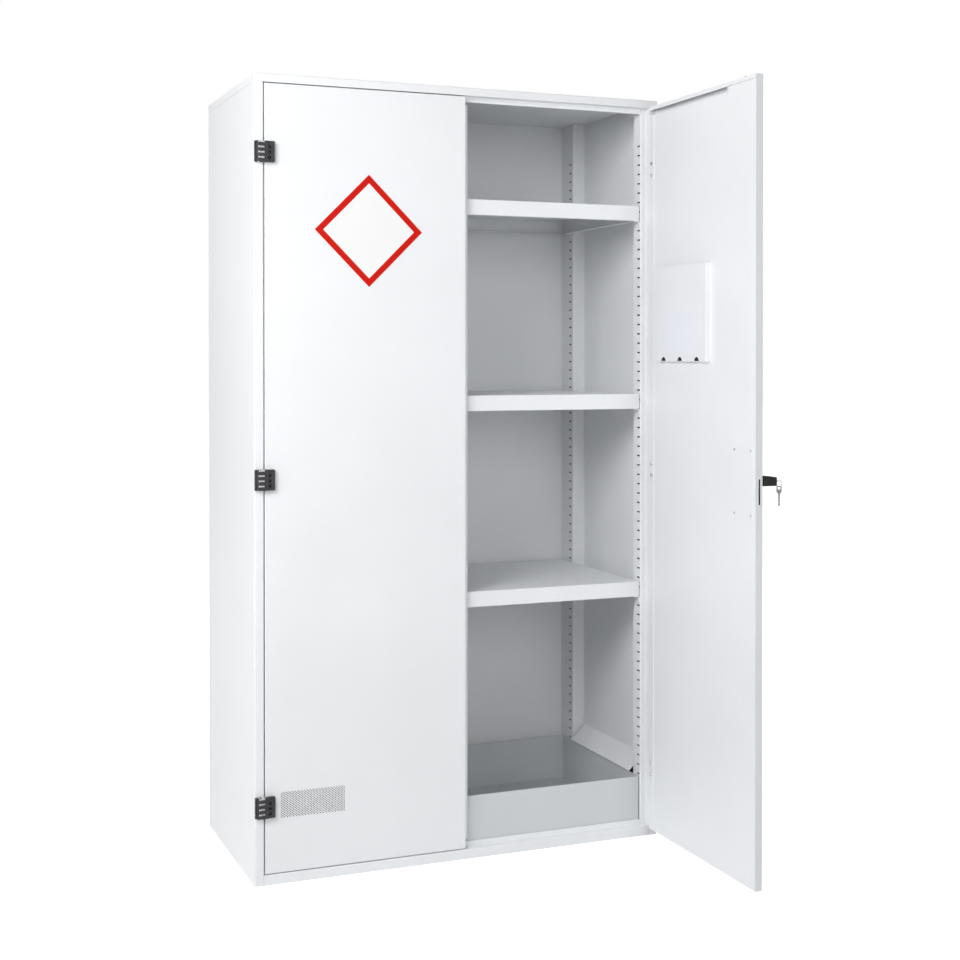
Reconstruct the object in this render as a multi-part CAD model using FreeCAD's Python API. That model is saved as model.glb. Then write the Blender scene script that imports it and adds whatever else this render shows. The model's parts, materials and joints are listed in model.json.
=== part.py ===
import FreeCAD, Part
import math
import os

# A tall two-door steel cabinet for chemicals, with three shelves and a sump tray.
# All lengths are millimetres. +X is to the right, +Y to the back and +Z up.
# The origin is the middle of the body's base, on the floor.
# The left door is modelled closed and the right door swung open a quarter turn.

Vector = FreeCAD.Vector
ORIGIN = Vector(0, 0, 0)
RIGHT = Vector(1, 0, 0)
BACK = Vector(0, 1, 0)
UP = Vector(0, 0, 1)
QUARTER_TURN = 90.0
FULL_TURN = 2 * math.pi

# Body
body_width = 1090.0
body_depth = 520.0
body_height = 1950.0
sheet = 1.5
bend = 2.0
seam = 0.5
overrun = 5.0
cap_height = 20.0
cap_edge_radius = 2.5
plinth_height = 25.0
rear_flange = 20.0
stiffener_width = 60.0
stiffener_flange = 15.0

# Side posts, measured in from the outer side and back from the front
post_face = 24.0
rebate_depth = 22.0
stop_width = 14.0
post_depth = 42.0
rear_post_depth = 79.0
stop_drop = 13.0
stop_return = 12.0

# Slots in the posts
slot_first = 157.5
slot_pitch = 25.0
slot_end_margin = 115.0
slot_length = 16.0
slot_height = 4.0
slot_setback = 3.8
rear_slot_setback = 12.0

# Shelves and their clips. Each share says how far up the row of slots a shelf hangs
shelf_shares = (0.87, 0.574, 0.28)
shelf_flange = 40.0
shelf_lip = 12.0
shelf_side_gap = 2.0
shelf_front_gap = 2.0
shelf_back_gap = 13.0
shelf_edge_radius = 2.0
clip_thickness = 2.0
clip_reach = 16.0
clip_hook = 7.0
clip_hook_play = 0.3
clip_side_play = 0.5
clip_web = 11.0

# Sump tray and drip deflectors
tray_height = 127.0
tray_wall = 2.0
tray_side_gap = 2.0
tray_front_gap = 3.0
tray_back_gap = 17.0
tray_corner_radius = 4.0
deflector_flange = 15.0
deflector_rise = 42.0
deflector_inset = 46.5
deflector_clear = 3.0
deflector_end_gap = 7.0

# Doors
door_thickness = 20.0
door_sheet = 1.2
door_gap = 2.5
centre_gap = 3.0
door_edge_radius = 2.0
hinge_lip = 24.0
edge_lip = 12.0
top_lip = 10.0
inner_panel_top_gap = 13.0
inner_panel_overlap = 4.0
strip_gap = 0.5
strip_overlap = 12.5
strip_land = 11.0
strip_thickness = 1.5
strip_end_margin = 18.0

# Vent in the left door
vent_columns = 43
vent_rows = 11
vent_column_pitch = 3.75
vent_row_pitch = 5.6
vent_hole_radius = 1.5
vent_offset = 40.0
vent_base = 133.5
vent_window_margin = 6.0

# Sign plate on the left door
sign_side = 195.0
sign_thickness = 1.0
sign_corner_radius = 1.0
sign_drop = 347.0
sign_offset = 3.0

# Hinges
hinge_height = 50.0
low_hinge_up = 162.5
high_hinge_down = 165.5
hinge_setback = 9.5
pin_proud = 8.5
knuckle_radius = 6.0
pin_radius = 2.5
pin_play = 0.05
pin_overhang = 0.8
knuckle_pairs = 4
knuckle_play = 0.35
frame_knuckle_share = 0.34
frame_plate = 2.0
frame_leaf_start = 0.5
frame_strip_clear = 0.4
frame_strip_back = 1.0
knuckle_block_depth = 3.0
frame_leaf_edge = 1.0
arm_depth = 9.0
leaf_bridge = 3.5
leaf_start = 1.5
leaf_width = 21.0
leaf_thickness = 11.0
leaf_edge_radius = 1.5
pocket_width = 8.0
pocket_height = 7.0
pocket_depth = 6.0
bolt_radius = 2.5
bolt_offset = 17.5
bolt_spacing = 30.0
bolt_depth_in_leaf = 7.0
bolt_end = 1.5
nut_across = 8.0
nut_height = 4.0
screw_radius = 2.0
screw_head_radius = 3.0
screw_head_height = 1.4
screw_inset = 5.0
screw_length = 9.0

# Lock in the right door, a little under the middle of its height
lock_drop = 1.5
lock_offset = 51.0
stile_width = 126.0
access_width = 52.0
access_height = 128.0
cover_width = 86.0
cover_height = 166.0
cover_thickness = 1.0
cover_corner_radius = 10.0
cover_offset = 55.0
rivet_columns_apart = 72.6
rivet_rows_apart = 150.8
rivet_radius = 1.6
rivet_head_radius = 3.2
rivet_head_height = 0.9
case_width = 48.0
case_height = 92.0
case_plate = 1.5
spindle_radius = 5.0
spindle_play = 0.05
skin_hole_radius = 7.0
blade_length = 68.0
blade_half_width = 8.0
blade_thickness = 2.5
blade_start = 7.75
slot_width = 5.0
slot_above = 8.5
slot_below = 47.0
rod_depth = 11.0
rod_radius = 4.0
rod_play = 0.05
rod_hole_play = 0.6
rod_end_gap = 0.6
gear_teeth = 16
gear_pitch_radius = 10.0
gear_addendum = 0.95
gear_dedendum = 1.35
gear_backlash = 0.35
gear_thickness = 5.0
gear_clear = 0.35
pressure_angle = 20.0
flank_steps = 4
rack_body = 5.0
rack_margin = 6.0
rack_thickness = 5.0
rack_bridge_gap = 4.0
rack_bridge_height = 9.0
guide_width = 20.0
guide_height = 18.0
guide_end_offset = 70.0
guide_middle_share = 0.5

# Handle
escutcheon_radius = 19.0
escutcheon_thickness = 4.0
handle_play = 0.4
neck_radius = 9.0
grip_standoff = 20.0
grip_front = 59.5
grip_rise = 3.5
grip_base_height = 26.0
grip_front_height = 16.0
grip_tip = 96.0
grip_butt = 21.0
grip_edge_radius = 3.0
grip_end_taper = 6.0
spindle_in_grip = 18.0

# Cylinder, keys and ring
cylinder_radius = 4.5
cylinder_play = 0.05
cylinder_length = 17.0
cylinder_proud = 0.6
key_thickness = 2.0
key_blade_height = 5.0
key_slot_play = 0.1
key_blade_in = 14.0
key_shoulder_gap = 0.3
bow_length = 18.0
bow_width = 13.0
bow_hole_radius = 3.6
bow_strip = 1.8
spare_blade_length = 30.0
spare_twist = 40.0
ring_radius = 8.0
ring_wire = 0.7
ring_play = 0.3
key_notch_radius = 1.2
key_notches = 3

# Document pocket on the right door
pocket_offset = 60.0
pocket_breadth_share = 0.48
pocket_tall = 242.0
pocket_drop = 426.5
pocket_reach = 12.0
pocket_wall = 1.5
notch_radius = 12.0
notch_first_share = 0.145
notch_pitch_share = 0.337
notch_count = 3

# Places worked out from the sizes above
left = -body_width / 2
right = body_width / 2
front = -body_depth / 2
back = body_depth / 2
side_top = body_height - cap_height
post_inner = post_face + stop_width
stop_plane = front + rebate_depth
back_panel_front = back - 2 * sheet
rear_post_front = back_panel_front - rear_post_depth
door_bottom = plinth_height + door_gap
door_top = side_top - door_gap
lining_top = door_top - top_lip - inner_panel_top_gap
lock_height = (door_bottom + door_top) / 2 - lock_drop
door_width = body_width / 2 - post_face - door_gap - centre_gap / 2
left_door_hinge_edge = left + post_face + door_gap
left_door_free_edge = left_door_hinge_edge + door_width
right_door_hinge_edge = -left_door_hinge_edge
right_door_free_edge = -left_door_free_edge
door_back = front + door_thickness
right_door_back = door_back - strip_gap
low_hinge = door_bottom + low_hinge_up
high_hinge = door_top - high_hinge_down
hinge_middles = (low_hinge, (low_hinge + high_hinge) / 2, high_hinge)
hinge_names = ("bottom", "middle", "top")
pin_x = left + hinge_setback
pin_y = front - pin_proud
inner_left = left + post_inner
spindle_x = right_door_free_edge + lock_offset
spindle = Vector(spindle_x, front, lock_height)
rod_y = front + rod_depth
blade_y = front + blade_start
gear_y = blade_y + blade_thickness + gear_clear
rack_bridge_start = blade_length + rack_bridge_gap
rod_hole_radius = rod_radius + rod_hole_play
ring_drop = ring_radius - ring_wire - ring_play - math.hypot(bow_strip / 2, key_thickness / 2)

parts = {}


def box(x0, x1, y0, y1, z0, z1):
    """A block between two opposite corners."""
    return Part.makeBox(x1 - x0, y1 - y0, z1 - z0, Vector(x0, y0, z0))


def rod(radius, start, end):
    """A round bar from one point to another."""
    return Part.makeCylinder(radius, (end - start).Length, start, end - start)


def join(shapes):
    """One clean solid from touching shapes."""
    return shapes[0].multiFuse(shapes[1:]).removeSplitter()


def group(shapes):
    """Separate solids kept together in one node."""
    return Part.makeCompound(shapes)


def mirrored(shape):
    """The same shape on the other side of the cabinet."""
    return shape.mirror(ORIGIN, RIGHT)


def rounded(shape, radius, picks):
    """Fillet the edges that a test picks."""
    return shape.makeFillet(radius, [edge for edge in shape.Edges if picks(edge)])


def along(edge, axis):
    """Whether a straight edge runs along an axis."""
    ends = [vertex.Point for vertex in edge.Vertexes]
    if len(ends) != 2:
        return False
    run = ends[1] - ends[0]
    return run.Length > 0 and abs(abs(run.dot(axis)) - run.Length) < run.Length / 1000


def bent_face(points, thickness, radius, place):
    """The cross section of a bent sheet whose visible line is a list of points.

    The sheet lies to the left of the line, and each corner has the inside radius given.
    place turns a point of the section into a point of the model.
    """
    ahead = []
    for start, end in zip(points, points[1:]):
        length = math.hypot(end[0] - start[0], end[1] - start[1])
        ahead.append(((end[0] - start[0]) / length, (end[1] - start[1]) / length))

    def side(distance):
        pieces = []
        at = (points[0][0] - ahead[0][1] * distance, points[0][1] + ahead[0][0] * distance)
        for corner, (into, out) in zip(points[1:-1], zip(ahead, ahead[1:])):
            turn = into[0] * out[1] - into[1] * out[0]
            swing = math.atan2(turn, into[0] * out[0] + into[1] * out[1])
            line_radius = radius + thickness if turn > 0 else radius
            reach = line_radius * math.tan(abs(swing) / 2)
            way = 1 if turn > 0 else -1
            start = (corner[0] - into[0] * reach, corner[1] - into[1] * reach)
            centre = (start[0] - into[1] * line_radius * way, start[1] + into[0] * line_radius * way)
            own = line_radius - distance * way
            begin = (centre[0] + into[1] * own * way, centre[1] - into[0] * own * way)
            middle_angle = swing / 2
            cosine, sine = math.cos(middle_angle), math.sin(middle_angle)
            spoke = (begin[0] - centre[0], begin[1] - centre[1])
            middle = (centre[0] + spoke[0] * cosine - spoke[1] * sine,
                      centre[1] + spoke[0] * sine + spoke[1] * cosine)
            finish = (centre[0] + out[1] * own * way, centre[1] - out[0] * own * way)
            pieces.append((at, begin))
            pieces.append((begin, middle, finish))
            at = finish
        end = (points[-1][0] - ahead[-1][1] * distance, points[-1][1] + ahead[-1][0] * distance)
        pieces.append((at, end))
        return pieces

    near = side(0)
    far = side(thickness)
    loop = near + [(near[-1][-1], far[-1][-1])]
    loop += [tuple(reversed(piece)) for piece in reversed(far)]
    loop.append((far[0][0], near[0][0]))
    edges = []
    for piece in loop:
        spots = [place(spot) for spot in piece]
        if len(spots) == 3:
            edges.append(Part.Arc(*spots).toShape())
        elif (spots[1] - spots[0]).Length > 0:
            edges.append(Part.LineSegment(*spots).toShape())
    return Part.Face(Part.Wire(edges))


def upright_sheet(points, bottom, top):
    """A bent sheet that stands up, from its plan section."""
    face = bent_face(points, sheet, bend, lambda spot: Vector(spot[0], spot[1], bottom))
    return face.extrude(Vector(0, 0, top - bottom))


def cross_sheet(points, x0, x1):
    """A bent sheet that runs across the cabinet, from its side section."""
    face = bent_face(points, sheet, bend, lambda spot: Vector(x0, spot[0], spot[1]))
    return face.extrude(Vector(x1 - x0, 0, 0))


def deep_sheet(points, y0, y1):
    """A bent sheet that runs from front to back, from its front section."""
    face = bent_face(points, sheet, bend, lambda spot: Vector(spot[0], y0, spot[1]))
    return face.extrude(Vector(0, y1 - y0, 0))


def side_panel():
    """The left side: rear flange, side wall, post front and rebate wall in one sheet."""
    line = [(left + rear_flange, back), (left, back), (left, front),
            (left + post_face, front), (left + post_face, stop_plane)]
    panel = upright_sheet(line, 0, side_top - seam)
    holes = []
    for middle in hinge_middles:
        holes += screw_holes(middle)
    return panel.cut(Part.makeCompound(holes))


def slot_heights():
    """The height of every slot in a post."""
    count = int((body_height - slot_end_margin - slot_first) / slot_pitch) + 1
    return [slot_first + slot_pitch * index for index in range(count)]


def shelf_levels():
    """The slot that each shelf hangs in, counted from the lowest slot, from the top shelf down."""
    count = len(slot_heights())
    return [round(share * count) for share in shelf_shares]


def slotted(post, slot_start):
    """Cut the row of shelf slots into a left post."""
    cuts = [box(inner_left - 2 * sheet, inner_left + overrun, slot_start, slot_start + slot_length,
                height - slot_height / 2, height + slot_height / 2) for height in slot_heights()]
    return post.cut(Part.makeCompound(cuts))


def front_upright():
    """The left front post: door stop, slotted face and return to the side."""
    line = [(left + post_face - sheet, stop_plane), (inner_left, stop_plane),
            (inner_left, stop_plane + post_depth), (left + sheet, stop_plane + post_depth)]
    post = upright_sheet(line, plinth_height, body_height - sheet)
    return slotted(post, stop_plane + slot_setback)


def rear_upright():
    """The left rear post, between the side wall and the back panel."""
    line = [(left + sheet, rear_post_front), (inner_left, rear_post_front),
            (inner_left, back_panel_front)]
    post = upright_sheet(line, plinth_height, body_height - sheet)
    return slotted(post, rear_post_front + rear_slot_setback)


def back_panel():
    """The flat back, lying inside the rear flanges of the sides."""
    edge = left + sheet + bend
    return box(edge, -edge, back_panel_front, back_panel_front + sheet, 0, body_height - sheet)


def top_cap():
    """The cap over the whole body, a shallow pan turned upside down."""
    shell = box(left, right, front, back, side_top, body_height)
    inner = box(left + sheet, right - sheet, front + sheet, back - sheet,
                side_top - overrun, body_height - sheet)
    shell = rounded(shell, cap_edge_radius,
                    lambda edge: edge.BoundBox.ZMax > side_top + cap_height / 2)
    return shell.cut(inner)


def rod_hole(bottom, top):
    """The hole that a lock rod enters, when the right door is shut."""
    return rod(rod_hole_radius, Vector(spindle_x, rod_y, bottom), Vector(spindle_x, rod_y, top))


def top_stop_rail():
    """The rebate and door stop under the front of the cap."""
    shelf = box(left + sheet, right - sheet, front + sheet, stop_plane,
                side_top, side_top + sheet)
    stop = box(inner_left, -inner_left, stop_plane, stop_plane + sheet,
               side_top - stop_drop, side_top + sheet)
    fold = box(inner_left, -inner_left, stop_plane, stop_plane + stop_return,
               side_top - stop_drop, side_top - stop_drop + sheet)
    return join([shelf, stop, fold]).cut(rod_hole(side_top - overrun, side_top + overrun))


def floor_pan():
    """The base: front strip, sill, door stop lip and floor with its flanges."""
    strip_left = left + post_face + seam
    line = [(stop_plane, plinth_height), (front, plinth_height), (front, 0)]
    strip = cross_sheet(line, strip_left, -strip_left)
    lip = box(inner_left, -inner_left, stop_plane, stop_plane + sheet,
              plinth_height - sheet, plinth_height + stop_drop)
    rear_start = back_panel_front - sheet
    plate = box(left + sheet, right - sheet, stop_plane, rear_start,
                plinth_height - sheet, plinth_height)
    flange = box(left + sheet, left + 2 * sheet, stop_plane, rear_start, 0, plinth_height)
    rear_edge = left + sheet + bend
    rear = box(rear_edge, -rear_edge, rear_start, back_panel_front, 0, plinth_height)
    pan = join([strip, lip, plate, flange, mirrored(flange), rear])
    return pan.cut(rod_hole(plinth_height - overrun, plinth_height + overrun))


def floor_stiffener():
    """The channel under the middle of the floor, from front to back, that stands on the ground."""
    half = stiffener_width / 2
    foot = plinth_height - 2 * sheet
    line = [(-half - stiffener_flange, foot), (-half, foot), (-half, 0),
            (half, 0), (half, foot), (half + stiffener_flange, foot)]
    return deep_sheet(line, front + sheet + seam, back_panel_front - sheet - seam)


def shelf(level):
    """One shelf: a folded sheet with flanges down all round and lips turned in."""
    bottom = slot_first + slot_pitch * level - slot_height / 2 + clip_thickness
    top = bottom + shelf_flange
    x0 = inner_left + shelf_side_gap
    y0 = stop_plane + shelf_front_gap
    y1 = back_panel_front - shelf_back_gap
    blank = box(x0, -x0, y0, y1, bottom, top)
    blank = rounded(blank, shelf_edge_radius,
                    lambda edge: edge.BoundBox.ZMax > top - shelf_flange / 2
                    or edge.BoundBox.ZLength < shelf_flange / 2 and edge.BoundBox.YMax < y0 + sheet)
    hollow = box(x0 + sheet, -x0 - sheet, y0 + sheet, y1 - sheet, bottom + sheet, top - sheet)
    mouth = box(x0 + shelf_lip, -x0 - shelf_lip, y0 + shelf_lip, y1 - shelf_lip,
                bottom - overrun, bottom + overrun)
    return blank.cut(hollow).cut(mouth)


def shelf_clips():
    """The clips that hang in the slots, two a side under each shelf."""
    clips = []
    for level in shelf_levels():
        bottom = slot_first + slot_pitch * level - slot_height / 2
        for slot_start in (stop_plane + slot_setback, rear_post_front + rear_slot_setback):
            y0 = slot_start + clip_side_play
            y1 = slot_start + slot_length - clip_side_play
            hook_right = inner_left - sheet - clip_hook_play
            tongue = box(hook_right - clip_thickness, inner_left + clip_reach, y0, y1,
                         bottom, bottom + clip_thickness)
            hook = box(hook_right - clip_thickness, hook_right, y0, y1,
                       bottom - clip_hook, bottom + clip_thickness)
            web = box(inner_left, inner_left + clip_thickness, y0, y1,
                      bottom - clip_web, bottom + clip_thickness)
            clip = join([tongue, hook, web])
            clips += [clip, mirrored(clip)]
    return group(clips)


def sump_tray():
    """The leak tray that stands on the floor, open at the top."""
    x0 = inner_left + tray_side_gap
    y0 = stop_plane + tray_front_gap
    y1 = back_panel_front - tray_back_gap
    top = plinth_height + tray_height
    outer = rounded(box(x0, -x0, y0, y1, plinth_height, top), tray_corner_radius,
                    lambda edge: along(edge, UP))
    inner = rounded(box(x0 + tray_wall, -x0 - tray_wall, y0 + tray_wall, y1 - tray_wall,
                        plinth_height + tray_wall, top + overrun),
                    tray_corner_radius - tray_wall, lambda edge: along(edge, UP))
    return outer.cut(inner)


def drip_deflector():
    """The sloping plate that leads drips from the left side wall into the tray."""
    low = plinth_height + tray_height + deflector_clear
    high = low + deflector_rise
    line = [(left + sheet, high + deflector_flange), (left + sheet, high),
            (left + deflector_inset, low)]
    start = stop_plane + post_depth + deflector_end_gap
    return deep_sheet(line, start, rear_post_front - deflector_end_gap)


def door_pan(x0, x1, y1, lips):
    """A door skin with its edges folded back and lips turned in.

    lips holds the width of the lip at the low X edge and at the high X edge.
    """
    outer = box(x0, x1, front, y1, door_bottom, door_top)
    outer = rounded(outer, door_edge_radius,
                    lambda edge: edge.BoundBox.YMax < front + door_thickness / 2)
    hollow = box(x0 + door_sheet, x1 - door_sheet, front + door_sheet, y1 - door_sheet,
                 door_bottom + door_sheet, door_top - door_sheet)
    mouth = box(x0 + lips[0], x1 - lips[1], front + door_thickness / 2, y1 + overrun,
                door_bottom + edge_lip, door_top - top_lip)
    gap = box(x0 + door_sheet, x1 - door_sheet, front + door_thickness / 2, y1 + overrun,
              lining_top, door_top - top_lip)
    return outer.cut(hollow).cut(join([mouth, gap]))


def bolt_places(hinge_edge, way):
    """Where the hinge bolts pass through a closed door."""
    return [Vector(hinge_edge + way * bolt_offset, front, middle + step)
            for middle in hinge_middles for step in (-bolt_spacing / 2, bolt_spacing / 2)]


def bolt_holes(hinge_edge, way):
    """The holes for the hinge bolts."""
    return [rod(bolt_radius, place - BACK * overrun, place + BACK * (door_thickness + overrun))
            for place in bolt_places(hinge_edge, way)]


def hinge_bolts(hinge_edge, way, door_back_face):
    """The bolts that hold the door leaves, each with its nut inside the door."""
    solids = []
    for place in bolt_places(hinge_edge, way):
        depth = door_back_face - front
        end = place + BACK * (depth + nut_height + bolt_end)
        solids.append(rod(bolt_radius, place - BACK * bolt_depth_in_leaf, end))
        seat = place + BACK * depth
        corner = nut_across / math.sqrt(3)
        spots = [seat + Vector(corner * math.cos(FULL_TURN * side / 6), 0,
                               corner * math.sin(FULL_TURN * side / 6)) for side in range(7)]
        nut = Part.Face(Part.makePolygon(spots)).extrude(BACK * nut_height)
        solids.append(nut.cut(rod(bolt_radius, seat - BACK * overrun, end)))
    return group(solids)


def vent_holes():
    """The staggered rows of round holes low in the left door."""
    holes = []
    for column in range(vent_columns):
        shift = vent_row_pitch / 2 if column % 2 else 0
        x = left_door_hinge_edge + vent_offset + column * vent_column_pitch
        for row in range(vent_rows):
            start = Vector(x, front - overrun, door_bottom + vent_base + shift + row * vent_row_pitch)
            holes.append(rod(vent_hole_radius, start, start + BACK * (2 * overrun)))
    return Part.makeCompound(holes)


def blade_slot(x):
    """The round-ended slot in a door's free edge that the lock blade swings through."""
    middle = blade_y + blade_thickness / 2
    radius = slot_width / 2
    ends = [rod(radius, Vector(x - overrun, middle, height), Vector(x + overrun, middle, height))
            for height in (lock_height - slot_below, lock_height + slot_above)]
    return join([box(x - overrun, x + overrun, middle - radius, middle + radius,
                     lock_height - slot_below, lock_height + slot_above)] + ends)


def left_door_panel():
    """The outer pan of the left door, with its vent and bolt holes."""
    pan = door_pan(left_door_hinge_edge, left_door_free_edge, door_back, (hinge_lip, edge_lip))
    pan = pan.cut(Part.makeCompound(bolt_holes(left_door_hinge_edge, 1)))
    pan = pan.cut(blade_slot(left_door_free_edge))
    return pan.cut(vent_holes())


def left_door_inner_panel():
    """The lining of the left door, held behind the lips, with a window at the vent."""
    lining = box(left_door_hinge_edge + hinge_lip - inner_panel_overlap,
                 left_door_free_edge - edge_lip + inner_panel_overlap,
                 door_back - 2 * door_sheet, door_back - door_sheet,
                 door_bottom + door_sheet, lining_top)
    vent_left = left_door_hinge_edge + vent_offset - vent_window_margin
    vent_right = vent_left + (vent_columns - 1) * vent_column_pitch + 2 * vent_window_margin
    vent_low = door_bottom + vent_base - vent_window_margin
    vent_high = vent_low + vent_rows * vent_row_pitch + 2 * vent_window_margin
    return lining.cut(box(vent_left, vent_right, door_back - overrun, door_back + overrun,
                          vent_low, vent_high))


def left_door_overlap_strip():
    """The strip along the left door's free edge that the right door closes over."""
    return box(left_door_free_edge - strip_land, left_door_free_edge + strip_overlap,
               door_back, door_back + strip_thickness,
               door_bottom + strip_end_margin, door_top - strip_end_margin)


def sign_plate():
    """The bare diamond plate near the middle of the left door."""
    half = sign_side / 2
    plate = Part.makeBox(sign_side, sign_thickness, sign_side, Vector(-half, 0, -half))
    plate = rounded(plate, sign_corner_radius, lambda edge: along(edge, BACK))
    plate.rotate(ORIGIN, BACK, QUARTER_TURN / 2)
    middle = (left_door_hinge_edge + left_door_free_edge) / 2 + sign_offset
    plate.translate(Vector(middle, front - sign_thickness, door_top - sign_drop))
    return plate


def knuckle_slots(middle):
    """The heights of the door leaf's knuckles and of the frame leaf's, from the top."""
    pitch = hinge_height / knuckle_pairs
    frame_share = pitch * frame_knuckle_share
    door_slots = []
    frame_slots = []
    for pair in range(knuckle_pairs):
        top = middle + hinge_height / 2 - pair * pitch
        frame_slots.append((top - frame_share + knuckle_play / 2, top - knuckle_play / 2))
        door_slots.append((top - pitch + knuckle_play / 2, top - frame_share - knuckle_play / 2))
    return door_slots, frame_slots


def screw_places(middle):
    """Where a left frame leaf is screwed to the post, behind its first and last door knuckle."""
    door_slots = knuckle_slots(middle)[0]
    return [Vector(left + post_face - screw_inset, front, sum(door_slots[index]) / 2)
            for index in (0, -1)]


def screw_holes(middle):
    """The holes for the screws of a left frame leaf."""
    return [rod(screw_radius, place - BACK * overrun, place + BACK * overrun)
            for place in screw_places(middle)]


def pin_bore(middle, radius):
    """The bore of a hinge barrel."""
    reach = hinge_height / 2 + overrun
    return rod(radius, Vector(pin_x, pin_y, middle - reach), Vector(pin_x, pin_y, middle + reach))


def hinge_frame_leaf(middle):
    """The half of a left hinge that is screwed to the post, open between its knuckles."""
    low = middle - hinge_height / 2 + knuckle_play / 2
    high = middle + hinge_height / 2 - knuckle_play / 2
    start = left + frame_leaf_start
    plate_end = left + post_face - frame_leaf_edge
    barrel_end = pin_x + knuckle_radius
    solids = [box(start, plate_end, front - frame_plate, front, low, high),
              box(start, pin_x - knuckle_radius - frame_strip_clear,
                  pin_y + frame_strip_back, front, low, high)]
    cuts = [pin_bore(middle, pin_radius)] + screw_holes(middle)
    for bottom, top in knuckle_slots(middle)[1]:
        solids.append(rod(knuckle_radius, Vector(pin_x, pin_y, bottom), Vector(pin_x, pin_y, top)))
        solids.append(box(start, barrel_end, pin_y - knuckle_block_depth, front, bottom, top))
        cuts.append(box(barrel_end, plate_end + overrun, front - overrun, front + overrun,
                        bottom - knuckle_play / 2, top + knuckle_play / 2))
    return join(solids).cut(Part.makeCompound(cuts))


def hinge_door_leaf(middle):
    """The half of a left hinge that is bolted to the door and carries the arms."""
    low = middle - hinge_height / 2 + knuckle_play / 2
    high = middle + hinge_height / 2 - knuckle_play / 2
    x0 = left_door_hinge_edge + leaf_start
    x1 = x0 + leaf_width
    pad = box(x0, x1, front - leaf_thickness, front, low, high)
    pad = rounded(pad, leaf_edge_radius, lambda edge: edge.BoundBox.XMin > x1 - leaf_edge_radius
                  and edge.BoundBox.YMin < front - leaf_edge_radius)
    door_slots, frame_slots = knuckle_slots(middle)
    face = pin_y - knuckle_radius
    solids = [pad, box(x0 - leaf_bridge, x0 + leaf_bridge, face, front - leaf_thickness / 2, low, high)]
    for bottom, top in door_slots:
        solids.append(rod(knuckle_radius, Vector(pin_x, pin_y, bottom), Vector(pin_x, pin_y, top)))
        solids.append(box(pin_x, x0, face, face + arm_depth, bottom, top))
    leaf = join(solids)
    cuts = [pin_bore(middle, pin_radius + pin_play)]
    for bottom, top in frame_slots[1:]:
        centre = (bottom + top) / 2
        cuts.append(box(x0 + leaf_bridge, x0 + leaf_bridge + pocket_width,
                        front - leaf_thickness - overrun, front - leaf_thickness + pocket_depth,
                        centre - pocket_height / 2, centre + pocket_height / 2))
    for step in (-bolt_spacing / 2, bolt_spacing / 2):
        place = Vector(left_door_hinge_edge + bolt_offset, front, middle + step)
        cuts.append(rod(bolt_radius, place - BACK * bolt_depth_in_leaf, place + BACK * overrun))
    return leaf.cut(Part.makeCompound(cuts))


def hinge_pins():
    """The three pins of the left door's hinges."""
    reach = hinge_height / 2 + pin_overhang
    return group([rod(pin_radius, Vector(pin_x, pin_y, middle - reach),
                      Vector(pin_x, pin_y, middle + reach)) for middle in hinge_middles])


def hinge_screws():
    """The screws that hold the frame leaves to the left post."""
    screws = []
    for middle in hinge_middles:
        for place in screw_places(middle):
            seat = place - BACK * frame_plate
            head = rod(screw_head_radius, seat - BACK * screw_head_height, seat)
            shank = rod(screw_radius, seat, seat + BACK * screw_length)
            screws.append(join([head, shank]))
    return group(screws)


def opened(shape):
    """Swing a piece of the closed right door out to where the door stands open."""
    shape.rotate(Vector(-pin_x, pin_y, 0), UP, QUARTER_TURN)
    return shape


def right_door_panel():
    """The outer pan of the right door, closed, with its lock and bolt holes."""
    pan = door_pan(right_door_free_edge, right_door_hinge_edge, right_door_back,
                   (door_sheet, hinge_lip))
    cuts = bolt_holes(right_door_hinge_edge, -1)
    cuts.append(blade_slot(right_door_free_edge))
    cuts.append(rod(skin_hole_radius, spindle - BACK * overrun, spindle + BACK * overrun))
    for height in (door_bottom, door_top):
        cuts.append(rod_hole(height - overrun, height + overrun))
    return pan.cut(Part.makeCompound(cuts))


def right_door_inner_panel():
    """The lining of the right door, between the hinge lip and the lock stile."""
    return box(right_door_free_edge + stile_width,
               right_door_hinge_edge - hinge_lip + inner_panel_overlap,
               right_door_back - 2 * door_sheet, right_door_back - door_sheet,
               door_bottom + door_sheet, lining_top)


def lock_stile():
    """The folded cover that closes the lock side of the right door into a box."""
    x0 = right_door_free_edge + door_sheet
    x1 = right_door_free_edge + stile_width
    low = door_bottom + edge_lip
    face = box(x0, x1, right_door_back - door_sheet, right_door_back, low, door_top - top_lip - seam)
    wall = box(x1 - door_sheet, x1, front + door_sheet, right_door_back - door_sheet,
               low, door_top - door_sheet)
    middle = right_door_free_edge + cover_offset
    access = box(middle - access_width / 2, middle + access_width / 2,
                 right_door_back - overrun, right_door_back + overrun,
                 lock_height - access_height / 2, lock_height + access_height / 2)
    stile = join([face, wall]).cut(access)
    return stile.cut(Part.makeCompound(rivet_shanks(rivet_radius, overrun)))


def rivet_places():
    """Where the cover plate is riveted to the lock stile."""
    middle = right_door_free_edge + cover_offset
    return [Vector(middle + across * rivet_columns_apart / 2, right_door_back,
                   lock_height + up * rivet_rows_apart / 2)
            for across in (-1, 1) for up in (-1, 1)]


def rivet_shanks(radius, reach):
    """Round bars at the rivets' places."""
    return [rod(radius, place - BACK * reach, place + BACK * reach) for place in rivet_places()]


def lock_cover_plate():
    """The riveted plate over the access opening of the lock."""
    middle = right_door_free_edge + cover_offset
    plate = box(middle - cover_width / 2, middle + cover_width / 2,
                right_door_back, right_door_back + cover_thickness,
                lock_height - cover_height / 2, lock_height + cover_height / 2)
    plate = rounded(plate, cover_corner_radius, lambda edge: along(edge, BACK))
    return plate.cut(Part.makeCompound(rivet_shanks(rivet_radius, overrun)))


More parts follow.
